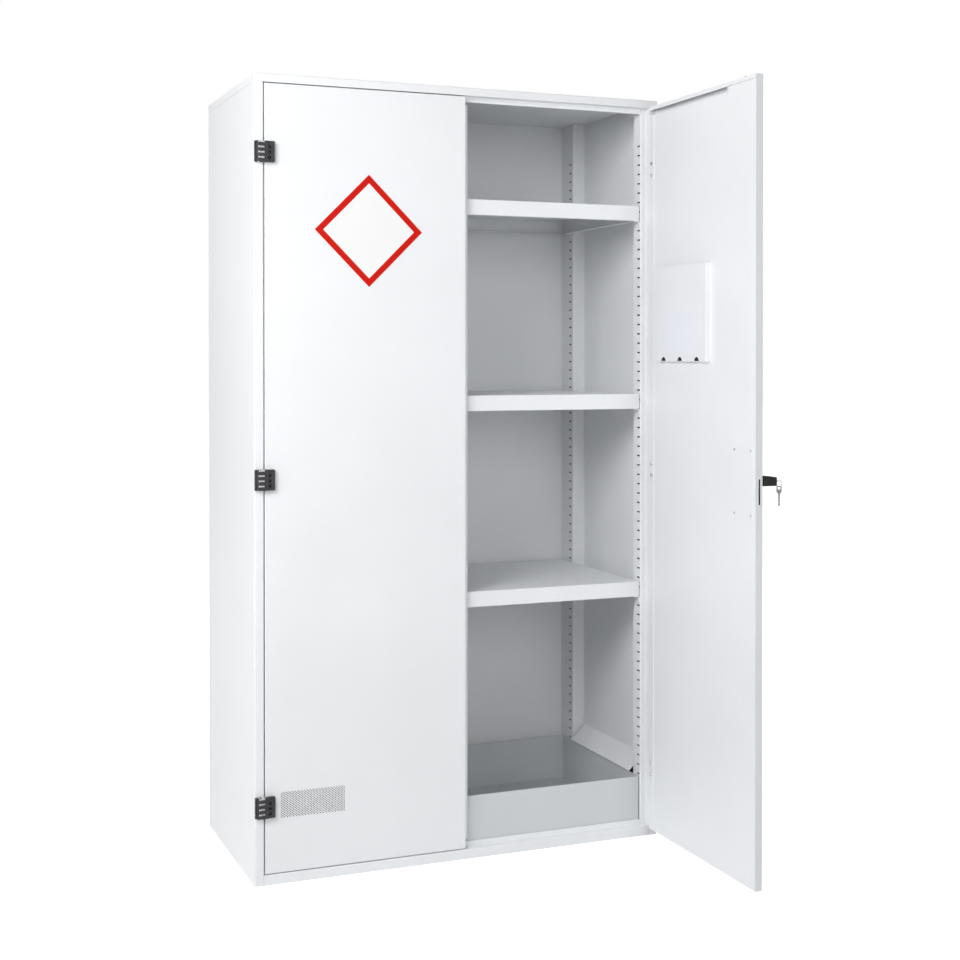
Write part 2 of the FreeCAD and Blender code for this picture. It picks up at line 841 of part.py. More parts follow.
def lock_cover_rivets():
    """The four rivets of the cover plate."""
    rivets = []
    for place in rivet_places():
        face = place + BACK * cover_thickness
        shank = rod(rivet_radius, place - BACK * (2 * door_sheet), face)
        head = rod(rivet_head_radius, face, face + BACK * rivet_head_height)
        head = rounded(head, rivet_head_height / 2,
                       lambda edge: edge.BoundBox.YMin > face.y + rivet_head_height / 2)
        rivets.append(join([shank, head]))
    return group(rivets)


def lock_case():
    """The bearing bracket of the lock, open towards the door's free edge."""
    x0 = spindle_x - case_width / 2
    x1 = spindle_x + case_width / 2
    y0 = front + door_sheet
    y1 = right_door_back - door_sheet
    low = lock_height - case_height / 2
    high = lock_height + case_height / 2
    case = join([box(x0, x1, y0, y0 + case_plate, low, high),
                 box(x0, x1, y1 - case_plate, y1, low, high),
                 box(x1 - case_plate, x1, y0, y1, low, high)])
    return case.cut(rod(spindle_radius + spindle_play, spindle - BACK * overrun,
                        spindle + BACK * (door_thickness + overrun)))


def rod_guides():
    """The blocks that guide the two lock rods inside the stile."""
    blocks = []
    for height in (door_top - guide_end_offset,
                   lock_height + (door_top - lock_height) * guide_middle_share,
                   lock_height + (door_bottom - lock_height) * guide_middle_share,
                   door_bottom + guide_end_offset):
        block = box(spindle_x - guide_width / 2, spindle_x + guide_width / 2,
                    front + door_sheet, right_door_back - door_sheet,
                    height - guide_height / 2, height + guide_height / 2)
        bore = rod(rod_radius + rod_play, Vector(spindle_x, rod_y, height - guide_height),
                   Vector(spindle_x, rod_y, height + guide_height))
        blocks.append(block.cut(bore))
    return group(blocks)


def escutcheon():
    """The round plate under the handle, on the face of the right door."""
    plate = rod(escutcheon_radius, spindle - BACK * escutcheon_thickness, spindle)
    plate = rounded(plate, escutcheon_thickness / 3,
                    lambda edge: edge.BoundBox.YMax < front - escutcheon_thickness / 2)
    return plate.cut(rod(spindle_radius + spindle_play, spindle - BACK * overrun, spindle + BACK * overrun))


def handle_grip():
    """The lever of the handle, pointing to the hinges while the door is unlocked."""
    base = front - grip_standoff
    face = front - grip_front
    low = lock_height + grip_rise - grip_base_height / 2
    high = low + grip_base_height
    face_high = low + (grip_base_height + grip_front_height) / 2

    def section(x, inset):
        spots = [Vector(x, base, low + inset), Vector(x, base, high - inset),
                 Vector(x, face, face_high - inset), Vector(x, face, low + inset)]
        return Part.makePolygon(spots + spots[:1])

    butt = spindle_x - grip_butt
    tip = spindle_x + grip_tip
    bar = Part.makeLoft([section(butt, 0), section(spindle_x, 0)], True, True)
    arm = Part.makeLoft([section(spindle_x, 0), section(tip, grip_end_taper / 2)], True, True)
    bar = join([bar, arm])
    bar = rounded(bar, grip_edge_radius, lambda edge: edge.Length > grip_front_height / 2)
    neck = rod(neck_radius, spindle - BACK * (escutcheon_thickness + handle_play),
               spindle - BACK * (grip_standoff + overrun))
    cylinder_bore = rod(cylinder_radius + cylinder_play, spindle - BACK * (grip_front + overrun),
                        spindle - BACK * (grip_front - cylinder_length))
    spindle_bore = rod(spindle_radius, spindle - BACK * (grip_standoff + spindle_in_grip / 2),
                       spindle)
    return join([bar, neck]).cut(cylinder_bore).cut(spindle_bore)


def handle_spindle():
    """The round bar that turns the blade and the pinion."""
    return rod(spindle_radius, spindle - BACK * (grip_standoff + spindle_in_grip / 2),
               Vector(spindle_x, right_door_back - door_sheet, lock_height))


def cam_blade():
    """The flat blade on the spindle, pointing down while the door is unlocked."""
    tip = Vector(spindle_x, blade_y, lock_height - blade_length + blade_half_width)
    centre = Vector(spindle_x, blade_y, lock_height)
    blade = join([
        box(spindle_x - blade_half_width, spindle_x + blade_half_width,
            blade_y, blade_y + blade_thickness, tip.z, lock_height),
        rod(blade_half_width, tip, tip + BACK * blade_thickness),
        rod(blade_half_width, centre, centre + BACK * blade_thickness)])
    return blade.cut(rod(spindle_radius, centre - BACK * overrun, centre + BACK * overrun))


def involute(radius):
    """The angle that an involute flank has turned through at a radius."""
    base = gear_pitch_radius * math.cos(math.radians(pressure_angle))
    if radius <= base:
        return 0
    ratio = math.sqrt((radius / base) ** 2 - 1)
    return ratio - math.atan(ratio)


def pinion():
    """The toothed wheel on the spindle that drives both rods."""
    base = gear_pitch_radius * math.cos(math.radians(pressure_angle))
    root = gear_pitch_radius - gear_dedendum
    tip = gear_pitch_radius + gear_addendum
    half_tooth = math.pi / (2 * gear_teeth) - gear_backlash / (2 * gear_pitch_radius)
    start_radius = max(base, root)
    spots = []
    for tooth in range(gear_teeth):
        middle = FULL_TURN * tooth / gear_teeth
        flank = []
        for step in range(flank_steps + 1):
            radius = start_radius + (tip - start_radius) * step / flank_steps
            half = half_tooth + involute(gear_pitch_radius) - involute(radius)
            flank.append((radius, half))
        rising = [(root, flank[0][1])] + flank
        for radius, half in rising:
            spots.append((radius, middle - half))
        for radius, half in reversed(rising):
            spots.append((radius, middle + half))
    y0 = gear_y
    ring = [Vector(spindle_x + radius * math.cos(angle), y0, lock_height + radius * math.sin(angle))
            for radius, angle in spots]
    wheel = Part.Face(Part.makePolygon(ring + ring[:1])).extrude(BACK * gear_thickness)
    centre = Vector(spindle_x, gear_y, lock_height)
    return wheel.cut(rod(spindle_radius, centre - BACK * overrun,
                         centre + BACK * (gear_thickness + overrun)))


def rack_profile():
    """The toothed bar beside the pinion, on the free edge's side, at the unlocked position."""
    pitch = FULL_TURN * gear_pitch_radius / gear_teeth
    slope = math.tan(math.radians(pressure_angle))
    half_pitch_line = pitch / 4 - gear_backlash / 2
    root = -gear_pitch_radius - gear_dedendum
    tip = -gear_pitch_radius + gear_addendum
    outside = root - rack_body
    stroke = gear_pitch_radius * math.pi / 2
    count = int(math.ceil((stroke + 2 * rack_margin) / pitch))
    low = -stroke - rack_margin
    spots = [(outside, low), (root, low)]
    first = math.ceil(low / pitch - 1 / 2) + 1 / 2
    for tooth in range(count):
        centre = (first + tooth) * pitch
        root_half = half_pitch_line + gear_dedendum * slope
        tip_half = half_pitch_line - gear_addendum * slope
        spots += [(root, centre - root_half), (tip, centre - tip_half),
                  (tip, centre + tip_half), (root, centre + root_half)]
    high = rack_bridge_start + rack_bridge_height
    spots += [(root, high), (outside, high)]
    return spots


def lock_rod(way):
    """A lock rod with its rack: way is 1 for the top rod and -1 for the bottom rod."""
    y0 = gear_y
    spots = [Vector(spindle_x + way * x, y0, lock_height + way * z) for x, z in rack_profile()]
    rack = Part.Face(Part.makePolygon(spots + spots[:1])).extrude(BACK * rack_thickness)
    outside = spindle_x - way * (gear_pitch_radius + gear_dedendum + rack_body)
    inside = spindle_x + way * rod_radius
    near = lock_height + way * rack_bridge_start
    far = near + way * rack_bridge_height
    bridge = box(min(outside, inside), max(outside, inside), y0, y0 + rack_thickness,
                 min(near, far), max(near, far))
    end = door_top - rod_end_gap if way > 0 else door_bottom + rod_end_gap
    bar = rod(rod_radius, Vector(spindle_x, rod_y, near), Vector(spindle_x, rod_y, end))
    return join([rack, bridge, bar])


def flat_key(length):
    """A flat key that lies level: the bow from the origin towards -Y, the blade towards +Y."""
    half = key_thickness / 2
    bow = Part.makeBox(bow_width, bow_length, key_thickness, Vector(-bow_width / 2, -bow_length, -half))
    bow = rounded(bow, bow_width / 3, lambda edge: along(edge, UP))
    blade = Part.makeBox(key_blade_height, length + half, key_thickness,
                         Vector(-key_blade_height / 2, -half, -half))
    key = join([bow, blade])
    hole_y = bow_strip + bow_hole_radius - bow_length
    cuts = [rod(bow_hole_radius, Vector(0, hole_y, -key_thickness), Vector(0, hole_y, key_thickness))]
    space = length / (key_notches + 1)
    for notch in range(key_notches):
        place = Vector(key_blade_height / 2, space * (notch + 1), -key_thickness)
        cuts.append(rod(key_notch_radius, place, place + UP * (2 * key_thickness)))
    return key.cut(Part.makeCompound(cuts))


def lock_cylinder():
    """The barrel in the handle that the key turns."""
    face = spindle - BACK * (grip_front + cylinder_proud)
    barrel = rod(cylinder_radius, face, spindle - BACK * (grip_front - cylinder_length))
    wide = key_blade_height / 2 + key_slot_play
    half = key_thickness / 2 + key_slot_play
    slot = box(spindle_x - wide, spindle_x + wide, face.y - overrun, face.y + key_blade_in,
               lock_height - half, lock_height + half)
    return barrel.cut(slot)


def inserted_key():
    """The key that sits in the barrel, with its bow outside."""
    key = flat_key(key_blade_in)
    key.translate(spindle - BACK * (grip_front + cylinder_proud + key_shoulder_gap))
    return key


def ring_centre():
    """The middle of the ring that hangs on the outer strip of the inserted key's bow."""
    out = grip_front + cylinder_proud + key_shoulder_gap + bow_length - bow_strip / 2
    return spindle - BACK * out - UP * ring_drop


def key_ring():
    """The wire ring through both keys."""
    return Part.makeTorus(ring_radius, ring_wire, ring_centre(), RIGHT)


def spare_key():
    """The second key, hanging on the ring with its blade down."""
    key = flat_key(spare_blade_length)
    key.rotate(ORIGIN, RIGHT, -QUARTER_TURN)
    key.rotate(ORIGIN, UP, spare_twist)
    strip_bottom = ring_radius - ring_wire - ring_play
    key.translate(ring_centre() - UP * (strip_bottom - bow_strip + bow_length))
    return key


def document_pocket():
    """The open-topped pocket on the lining of the right door, with notches at its foot."""
    breadth = door_width * pocket_breadth_share
    x1 = right_door_hinge_edge - pocket_offset
    x0 = x1 - breadth
    y0 = right_door_back - door_sheet
    y1 = y0 + pocket_reach
    high = door_top - pocket_drop
    low = high - pocket_tall
    outer = rounded(box(x0, x1, y0, y1, low, high), bend,
                    lambda edge: along(edge, UP) and edge.BoundBox.YMin > y0 + pocket_wall)
    pocket = outer.cut(box(x0 + pocket_wall, x1 - pocket_wall, y0 + pocket_wall, y1 - pocket_wall,
                           low + pocket_wall, high + overrun))
    cuts = []
    for index in range(notch_count):
        x = x1 - breadth * (notch_first_share + index * notch_pitch_share)
        face = Vector(x, y1 - pocket_wall - pocket_wall / 2, low)
        cuts.append(rod(notch_radius, face, face + BACK * overrun))
    return pocket.cut(Part.makeCompound(cuts))


def build():
    """Make every piece where it stands at rest."""
    for name, shape in (("side_panel", side_panel()), ("front_upright", front_upright()),
                        ("rear_upright", rear_upright()), ("drip_deflector", drip_deflector())):
        parts[name + "_left"] = shape
        parts[name + "_right"] = mirrored(shape)
    parts["back_panel"] = back_panel()
    parts["top_cap"] = top_cap()
    parts["top_stop_rail"] = top_stop_rail()
    parts["floor_pan"] = floor_pan()
    parts["floor_stiffener"] = floor_stiffener()
    for name, level in zip(("top", "middle", "lower"), shelf_levels()):
        parts["shelf_" + name] = shelf(level)
    parts["shelf_clips"] = shelf_clips()
    parts["sump_tray"] = sump_tray()

    for name, middle in zip(hinge_names, hinge_middles):
        frame_leaf = hinge_frame_leaf(middle)
        door_leaf = hinge_door_leaf(middle)
        parts["hinge_frame_leaf_left_" + name] = frame_leaf
        parts["hinge_frame_leaf_right_" + name] = mirrored(frame_leaf)
        parts["hinge_door_leaf_left_" + name] = door_leaf
        parts["hinge_door_leaf_right_" + name] = opened(mirrored(door_leaf))
    pins = hinge_pins()
    parts["hinge_pins_left"] = pins
    parts["hinge_pins_right"] = mirrored(pins)
    screws = hinge_screws()
    parts["hinge_screws"] = group(screws.Solids + mirrored(screws).Solids)

    parts["left_door_panel"] = left_door_panel()
    parts["left_door_inner_panel"] = left_door_inner_panel()
    parts["left_door_overlap_strip"] = left_door_overlap_strip()
    parts["left_door_hinge_bolts"] = hinge_bolts(left_door_hinge_edge, 1, door_back)
    parts["sign_plate"] = sign_plate()

    closed = {
        "right_door_panel": right_door_panel(),
        "right_door_inner_panel": right_door_inner_panel(),
        "right_door_hinge_bolts": hinge_bolts(right_door_hinge_edge, -1, right_door_back),
        "lock_stile": lock_stile(),
        "lock_cover_plate": lock_cover_plate(),
        "lock_cover_rivets": lock_cover_rivets(),
        "lock_case": lock_case(),
        "lock_rod_guides": rod_guides(),
        "handle_escutcheon": escutcheon(),
        "handle_grip": handle_grip(),
        "handle_spindle": handle_spindle(),
        "lock_blade": cam_blade(),
        "lock_pinion": pinion(),
        "lock_rod_top": lock_rod(1),
        "lock_rod_bottom": lock_rod(-1),
        "lock_cylinder": lock_cylinder(),
        "key_in_lock": inserted_key(),
        "key_ring": key_ring(),
        "spare_key": spare_key(),
        "document_pocket": document_pocket(),
    }
    for name, shape in closed.items():
        parts[name] = opened(shape)


build()
os.makedirs("parts", exist_ok=True)
for name, shape in parts.items():
    if not shape.isValid():
        raise ValueError("The piece " + name + " isn't a sound solid.")
    shape.exportStep("parts/" + name + ".step")
print(sum(len(shape.Solids) for shape in parts.values()), "solids in", len(parts), "nodes")
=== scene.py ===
import json
import math

import bmesh
import bpy
from bpy.props import FloatProperty, FloatVectorProperty, IntProperty, PointerProperty
from mathutils import Matrix, Vector

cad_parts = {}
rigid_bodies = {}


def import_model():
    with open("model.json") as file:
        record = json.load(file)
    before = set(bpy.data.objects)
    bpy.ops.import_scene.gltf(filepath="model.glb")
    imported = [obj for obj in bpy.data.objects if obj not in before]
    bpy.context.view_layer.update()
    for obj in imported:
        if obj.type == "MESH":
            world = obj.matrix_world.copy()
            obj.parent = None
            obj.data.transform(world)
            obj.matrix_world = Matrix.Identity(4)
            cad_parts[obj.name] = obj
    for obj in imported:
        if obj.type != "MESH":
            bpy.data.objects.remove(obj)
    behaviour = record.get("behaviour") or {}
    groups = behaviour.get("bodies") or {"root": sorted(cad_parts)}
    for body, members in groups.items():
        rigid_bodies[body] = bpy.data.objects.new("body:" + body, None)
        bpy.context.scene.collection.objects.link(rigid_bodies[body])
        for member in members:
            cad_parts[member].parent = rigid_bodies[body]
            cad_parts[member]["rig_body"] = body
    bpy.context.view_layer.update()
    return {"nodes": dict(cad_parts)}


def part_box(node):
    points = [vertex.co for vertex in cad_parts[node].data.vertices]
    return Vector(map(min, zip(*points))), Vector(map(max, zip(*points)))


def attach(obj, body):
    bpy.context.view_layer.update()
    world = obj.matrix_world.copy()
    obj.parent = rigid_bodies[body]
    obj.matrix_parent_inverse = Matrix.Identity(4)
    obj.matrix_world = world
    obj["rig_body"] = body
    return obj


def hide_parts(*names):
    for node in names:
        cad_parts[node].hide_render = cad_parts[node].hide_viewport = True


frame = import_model()

bl_info = {
    "name": "Two-door storage cabinet",
    "version": (1, 0, 0),
    "blender": (4, 5, 0),
    "location": "3D View > Sidebar > Cabinet",
    "description": "Coats, dresses and lights a tall two-door steel cabinet",
    "category": "Object",
}

# Places of sockets on Blender's Mix node for colours
MIX_FACTOR = 0
MIX_FIRST = 6
MIX_SECOND = 7
MIX_RESULT = 2

SIDES = ("left", "right")
LEVELS = ("top", "middle", "bottom")
EDGE_LAYER = "edge"

# Angles between faces: what is eased, what is shaded as a sharp edge, and what counts as flat
EASED_FROM = math.radians(35)
SHARP_FROM = math.radians(28)
FLAT_BELOW = math.radians(0.5)

# Points closer than these are one point, in metres
SAME_CORNER = 0.00001
SAME_TURNED_POINT = 0.000001

# Steps of round shapes
FULL_TURN = 2 * math.pi
RING_STEPS = 48
SLEEVE_STEPS = 24
WIRE_SIDES = 12
WIRE_STEPS = 40
CORNER_STEPS = 5
WELD_SIDES = 16
WELD_RINGS = 8

# Parts of a noise that carry most of its contrast
NARROW_BAND = (0.35, 0.65)
WIDE_BAND = (0.3, 0.7)

WHITE_NODES = (
    "side_panel_left", "side_panel_right", "front_upright_left", "front_upright_right",
    "rear_upright_left", "rear_upright_right", "back_panel", "top_cap", "floor_stiffener",
    "shelf_top", "shelf_middle", "shelf_lower", "left_door_panel", "right_door_panel",
)
STEEL_NODES = (
    "lock_case", "handle_spindle", "lock_blade", "lock_pinion", "lock_rod_top",
    "lock_rod_bottom", "hinge_pins_left", "hinge_pins_right",
)


class CabinetFinish(bpy.types.PropertyGroup):
    """Colours and surfaces of the cabinet's materials."""

    white_coat: FloatVectorProperty(
        name="White Coat", description="Colour of the white powder coat",
        subtype="COLOR", size=3, min=0, max=1, default=(0.86, 0.875, 0.895))
    grey_coat: FloatVectorProperty(
        name="Grey Coat", description="Colour of the coat on the leak tray",
        subtype="COLOR", size=3, min=0, max=1, default=(0.64, 0.66, 0.675))
    peel_size: FloatProperty(
        name="Peel Size", description="Distance between the fine waves of the powder coat",
        unit="LENGTH", default=0.0022, min=0.0005, max=0.02)
    peel_depth: FloatProperty(
        name="Peel Depth", description="Depth of the fine waves of the powder coat",
        unit="LENGTH", default=0.000035, min=0, max=0.001)
    tone_reach: FloatProperty(
        name="Tone Reach", description="Distance over which the coat's tone changes",
        unit="LENGTH", default=0.35, min=0.01, max=2)
    coat_patch: FloatProperty(
        name="Coat Patch", description="Length of the worn patches on coated edges",
        unit="LENGTH", default=0.015, min=0.001, max=0.1)
    coat_shine: FloatProperty(
        name="Coat Shine", description="How strongly the powder coat mirrors light",
        default=0.45, min=0, max=1)
    hinge_plastic: FloatVectorProperty(
        name="Hinge Plastic", description="Colour of the moulded hinge leaves",
        subtype="COLOR", size=3, min=0, max=1, default=(0.032, 0.032, 0.036))
    handle_plastic: FloatVectorProperty(
        name="Handle Plastic", description="Colour of the lever and its round plate",
        subtype="COLOR", size=3, min=0, max=1, default=(0.008, 0.008, 0.009))
    grain_size: FloatProperty(
        name="Grain Size", description="Distance between the grains of moulded plastic",
        unit="LENGTH", default=0.0006, min=0.0001, max=0.01)
    grain_depth: FloatProperty(
        name="Grain Depth", description="Depth of the grain of moulded plastic",
        unit="LENGTH", default=0.00004, min=0, max=0.001)
    # The paler patches on moulded edges are partly rubbed wear, partly painted edge highlight.
    plastic_patch: FloatProperty(
        name="Plastic Patch", description="Length of the rubbed patches on moulded edges",
        unit="LENGTH", default=0.006, min=0.001, max=0.05)
    zinc: FloatVectorProperty(
        name="Zinc", description="Colour of zinc plated steel",
        subtype="COLOR", size=3, min=0, max=1, default=(0.72, 0.73, 0.75))
    nickel: FloatVectorProperty(
        name="Nickel", description="Colour of nickel plate on the keys and the barrel",
        subtype="COLOR", size=3, min=0, max=1, default=(0.68, 0.67, 0.65))
    zinc_streak: FloatProperty(
        name="Zinc Streak", description="Distance between the streaks of zinc plate",
        unit="LENGTH", default=0.003, min=0.0005, max=0.02)
    nickel_streak: FloatProperty(
        name="Nickel Streak", description="Distance between the streaks of nickel plate and wire",
        unit="LENGTH", default=0.002, min=0.0005, max=0.02)
    # The brighter patches on plated edges are partly rubbed wear, partly painted edge highlight.
    plate_patch: FloatProperty(
        name="Plate Patch", description="Length of the rubbed patches on plated edges",
        unit="LENGTH", default=0.004, min=0.0005, max=0.05)
    spring_wire: FloatVectorProperty(
        name="Spring Wire", description="Colour of the key ring's spring wire",
        subtype="COLOR", size=3, min=0, max=1, default=(0.20, 0.20, 0.21))
    plastic_shine: FloatProperty(
        name="Plastic Shine", description="How strongly moulded plastic mirrors light",
        default=0.3, min=0, max=1)
    # Painted light: the pale sleeves stand in for the lit bars between the hinges' dark knuckles.
    sleeve_painted_light: FloatVectorProperty(
        name="Sleeve Painted Light", description="Colour of the pale sleeves on the hinge barrels",
        subtype="COLOR", size=3, min=0, max=1, default=(0.62, 0.62, 0.63))
    # Painted shade shares this colour: the dark strips inside the posts stand in for the shade in the
    # hollow posts behind the slots. The vent gauze is dark in its own right.
    dark_primer_and_shade: FloatVectorProperty(
        name="Dark Primer And Shade", description="Colour of the primed strips inside the posts",
        subtype="COLOR", size=3, min=0, max=1, default=(0.006, 0.006, 0.006))
    guide_plastic: FloatVectorProperty(
        name="Guide Plastic", description="Colour of the blocks that guide the lock rods",
        subtype="COLOR", size=3, min=0, max=1, default=(0.75, 0.72, 0.64))
    # Painted shade: the black foam strip stands in for the shade inside the foot of the document
    # pocket, seen through its notches.
    foam: FloatVectorProperty(
        name="Foam", description="Colour of the foam strip in the document pocket",
        subtype="COLOR", size=3, min=0, max=1, default=(0.012, 0.012, 0.013))
    pore_size: FloatProperty(
        name="Pore Size", description="Distance between the pores of the foam",
        unit="LENGTH", default=0.0009, min=0.0002, max=0.005)
    pore_depth: FloatProperty(
        name="Pore Depth", description="Depth of the pores of the foam",
        unit="LENGTH", default=0.0004, min=0, max=0.002)
    paper: FloatVectorProperty(
        name="Paper", description="Colour of the blank label on the document pocket",
        subtype="COLOR", size=3, min=0, max=1, default=(0.84, 0.86, 0.92))
    cloud_size: FloatProperty(
        name="Cloud Size", description="Distance between the cloudy spots of the label's paper",
        unit="LENGTH", default=0.004, min=0.0005, max=0.05)
    cloud_depth: FloatProperty(
        name="Cloud Depth", description="Depth of the fibres of the label's paper",
        unit="LENGTH", default=0.00003, min=0, max=0.0005)
    sign_border: FloatVectorProperty(
        name="Sign Border", description="Colour of the border printed on the sign plate",
        subtype="COLOR", size=3, min=0, max=1, default=(0.64, 0.012, 0.005))
    sign_field: FloatVectorProperty(
        name="Sign Field", description="Colour inside the border of the sign plate",
        subtype="COLOR", size=3, min=0, max=1, default=(0.90, 0.90, 0.90))
    ink_size: FloatProperty(
        name="Ink Size", description="Distance between the grains of the sign plate's ink",
        unit="LENGTH", default=0.0012, min=0.0002, max=0.01)
    ink_blur: FloatProperty(
        name="Ink Blur", description="How soft the inner edge of the sign plate's border is",
        unit="LENGTH", default=0.0002, min=0.00001, max=0.002)
    ink_depth: FloatProperty(
        name="Ink Depth", description="Thickness of the sign plate's ink",
        unit="LENGTH", default=0.00004, min=0, max=0.0005)
    sign_shine: FloatProperty(
        name="Sign Shine", description="How strongly the sign plate mirrors light",
        default=0.06, min=0, max=1)


class CabinetSizes(bpy.types.PropertyGroup):
    """Sizes of the pieces that are added to the frame."""

    sheet_easing: FloatProperty(
        name="Sheet Easing", description="Width of the eased edges on sheet metal",
        unit="LENGTH", default=0.0003, min=0.00005, max=0.002)
    moulding_easing: FloatProperty(
        name="Moulding Easing", description="Width of the eased edges on moulded pieces",
        unit="LENGTH", default=0.0005, min=0.00005, max=0.003)
    small_easing: FloatProperty(
        name="Small Easing", description="Width of the eased edges on fasteners and keys",
        unit="LENGTH", default=0.0002, min=0.00005, max=0.001)
    ring_turns: IntProperty(
        name="Ring Turns", description="Turns of wire in the key ring", default=2, min=1, max=3)
    bezel_radius: FloatProperty(
        name="Bezel Radius", description="Outer radius of the ring round the lock barrel",
        unit="LENGTH", default=0.0078, min=0.006, max=0.012)
    bezel_height: FloatProperty(
        name="Bezel Height", description="How far the ring round the lock barrel stands proud",
        unit="LENGTH", default=0.0005, min=0.0001, max=0.001)
    knuckle_pairs: IntProperty(
        name="Knuckle Pairs", description="Knuckles on each leaf of a hinge",
        default=4, min=1, max=8)
    knuckle_share: FloatProperty(
        name="Knuckle Share", description="Share of a pair's height that is the frame leaf's knuckle",
        default=0.34, min=0.1, max=0.9)
    # The sleeves are painted light: pale pieces that stand in for the lit bars on the hinges.
    sleeve_play: FloatProperty(
        name="Sleeve Play", description="How much shorter a sleeve is than its knuckle",
        unit="LENGTH", default=0.0004, min=0, max=0.002)
    sleeve_proud: FloatProperty(
        name="Sleeve Proud", description="How far a sleeve stands proud of its knuckle",
        unit="LENGTH", default=0.00015, min=0.00005, max=0.001)
    sleeve_wall: FloatProperty(
        name="Sleeve Wall", description="Thickness of the sleeves on the hinge barrels",
        unit="LENGTH", default=0.0006, min=0.0002, max=0.002)
    # The liners are painted shade: dark strips that stand in for the shade inside the hollow posts.
    liner_depth: FloatProperty(
        name="Liner Depth", description="Distance of the primed strips behind the slots' face",
        unit="LENGTH", default=0.0075, min=0.005, max=0.03)
    liner_thickness: FloatProperty(
        name="Liner Thickness", description="Thickness of the primed strips inside the posts",
        unit="LENGTH", default=0.0008, min=0.0002, max=0.003)
    liner_gap: FloatProperty(
        name="Liner Gap", description="Gap between a primed strip and the post's outer faces",
        unit="LENGTH", default=0.0025, min=0.002, max=0.01)
    bush_radius: FloatProperty(
        name="Bush Radius", description="Outer radius of the bushes that the lock rods leave through",
        unit="LENGTH", default=0.0068, min=0.005, max=0.009)
    bush_proud: FloatProperty(
        name="Bush Proud", description="How far the bushes stand proud of the door's edge",
        unit="LENGTH", default=0.0018, min=0.0002, max=0.002)
    bush_play: FloatProperty(
        name="Bush Play", description="Play between a lock rod and its bush",
        unit="LENGTH", default=0.0004, min=0.0001, max=0.001)
    sleeve_reach: FloatProperty(
        name="Sleeve Reach", description="How far a sleeve's cheek reaches from the hinge's pin",
        unit="LENGTH", default=0.0135, min=0.008, max=0.014)
    cheek_depth: FloatProperty(
        name="Cheek Depth", description="Depth of a sleeve's cheek in front of and behind the pin",
        unit="LENGTH", default=0.008, min=0.004, max=0.01)
    sleeve_start: FloatProperty(
        name="Sleeve Start", description="Where a sleeve starts, as an angle from straight ahead",
        unit="ROTATION", default=math.radians(15), min=0, max=math.pi)
    sleeve_turn: FloatProperty(
        name="Sleeve Turn", description="How far a sleeve wraps its knuckle",
        unit="ROTATION", default=math.radians(165), min=math.pi / 4, max=math.pi * 1.5)
    gauze_place: FloatVectorProperty(
        name="Gauze Place", description="Lower corner of the gauze, from the left door's corner",
        unit="LENGTH", size=2, default=(0.036, 0.1295), min=0)
    gauze_size: FloatVectorProperty(
        name="Gauze Size", description="Width and height of the gauze behind the vent",
        unit="LENGTH", size=2, default=(0.1655, 0.067), min=0.01)
    gauze_depth: FloatProperty(
        name="Gauze Depth", description="Distance of the gauze behind the left door's face",
        unit="LENGTH", default=0.0022, min=0.0015, max=0.01)
    gauze_thickness: FloatProperty(
        name="Gauze Thickness", description="Thickness of the gauze behind the vent",
        unit="LENGTH", default=0.0005, min=0.0001, max=0.002)
    sign_corner: FloatProperty(
        name="Sign Corner", description="Radius of the sign plate's corners",
        unit="LENGTH", default=0.001, min=0, max=0.02)
    sign_border_width: FloatProperty(
        name="Sign Border Width", description="Width of the border on the sign plate",
        unit="LENGTH", default=0.015, min=0.002, max=0.05)
    pocket_wall: FloatProperty(
        name="Pocket Wall", description="Thickness of the document pocket's sheet",
        unit="LENGTH", default=0.0015, min=0.0005, max=0.004)
    # The foam strip is painted shade inside the document pocket.
    foam_gap: FloatProperty(
        name="Foam Gap", description="Gap between the foam strip and the document pocket",
        unit="LENGTH", default=0.0003, min=0.0001, max=0.002)
    foam_height: FloatProperty(
        name="Foam Height", description="Height of the foam strip in the document pocket",
        unit="LENGTH", default=0.016, min=0.004, max=0.04)
    foam_depth: FloatProperty(
        name="Foam Depth", description="Depth of the foam strip in the document pocket",
        unit="LENGTH", default=0.006, min=0.001, max=0.008)
    label_width: FloatProperty(
        name="Label Width", description="Width of the blank label on the document pocket",
        unit="LENGTH", default=0.150, min=0.02, max=0.2)
    label_height: FloatProperty(
        name="Label Height", description="Height of the blank label on the document pocket",
        unit="LENGTH", default=0.105, min=0.02, max=0.2)
    label_rise: FloatProperty(
        name="Label Rise", description="Height of the label's foot over the pocket's foot",
        unit="LENGTH", default=0.022, min=0.014, max=0.1)
    label_thickness: FloatProperty(
        name="Label Thickness", description="Thickness of the blank label",
        unit="LENGTH", default=0.0003, min=0.0001, max=0.001)
    label_corner: FloatProperty(
        name="Label Corner", description="Radius of the label's corners",
        unit="LENGTH", default=0.003, min=0.0005, max=0.01)
    weld_radius: FloatProperty(
        name="Weld Radius", description="Radius of the spot welds on the rear flanges",
        unit="LENGTH", default=0.0035, min=0.001, max=0.006)
    weld_height: FloatProperty(
        name="Weld Height", description="How far a spot weld stands proud",
        unit="LENGTH", default=0.00025, min=0.00005, max=0.001)
    weld_pitch: FloatProperty(
        name="Weld Pitch", description="Distance between spot welds",
        unit="LENGTH", default=0.12, min=0.03, max=0.4)
    weld_inset: FloatProperty(
        name="Weld Inset", description="Distance of the spot welds from the body's side",
        unit="LENGTH", default=0.012, min=0.005, max=0.018)


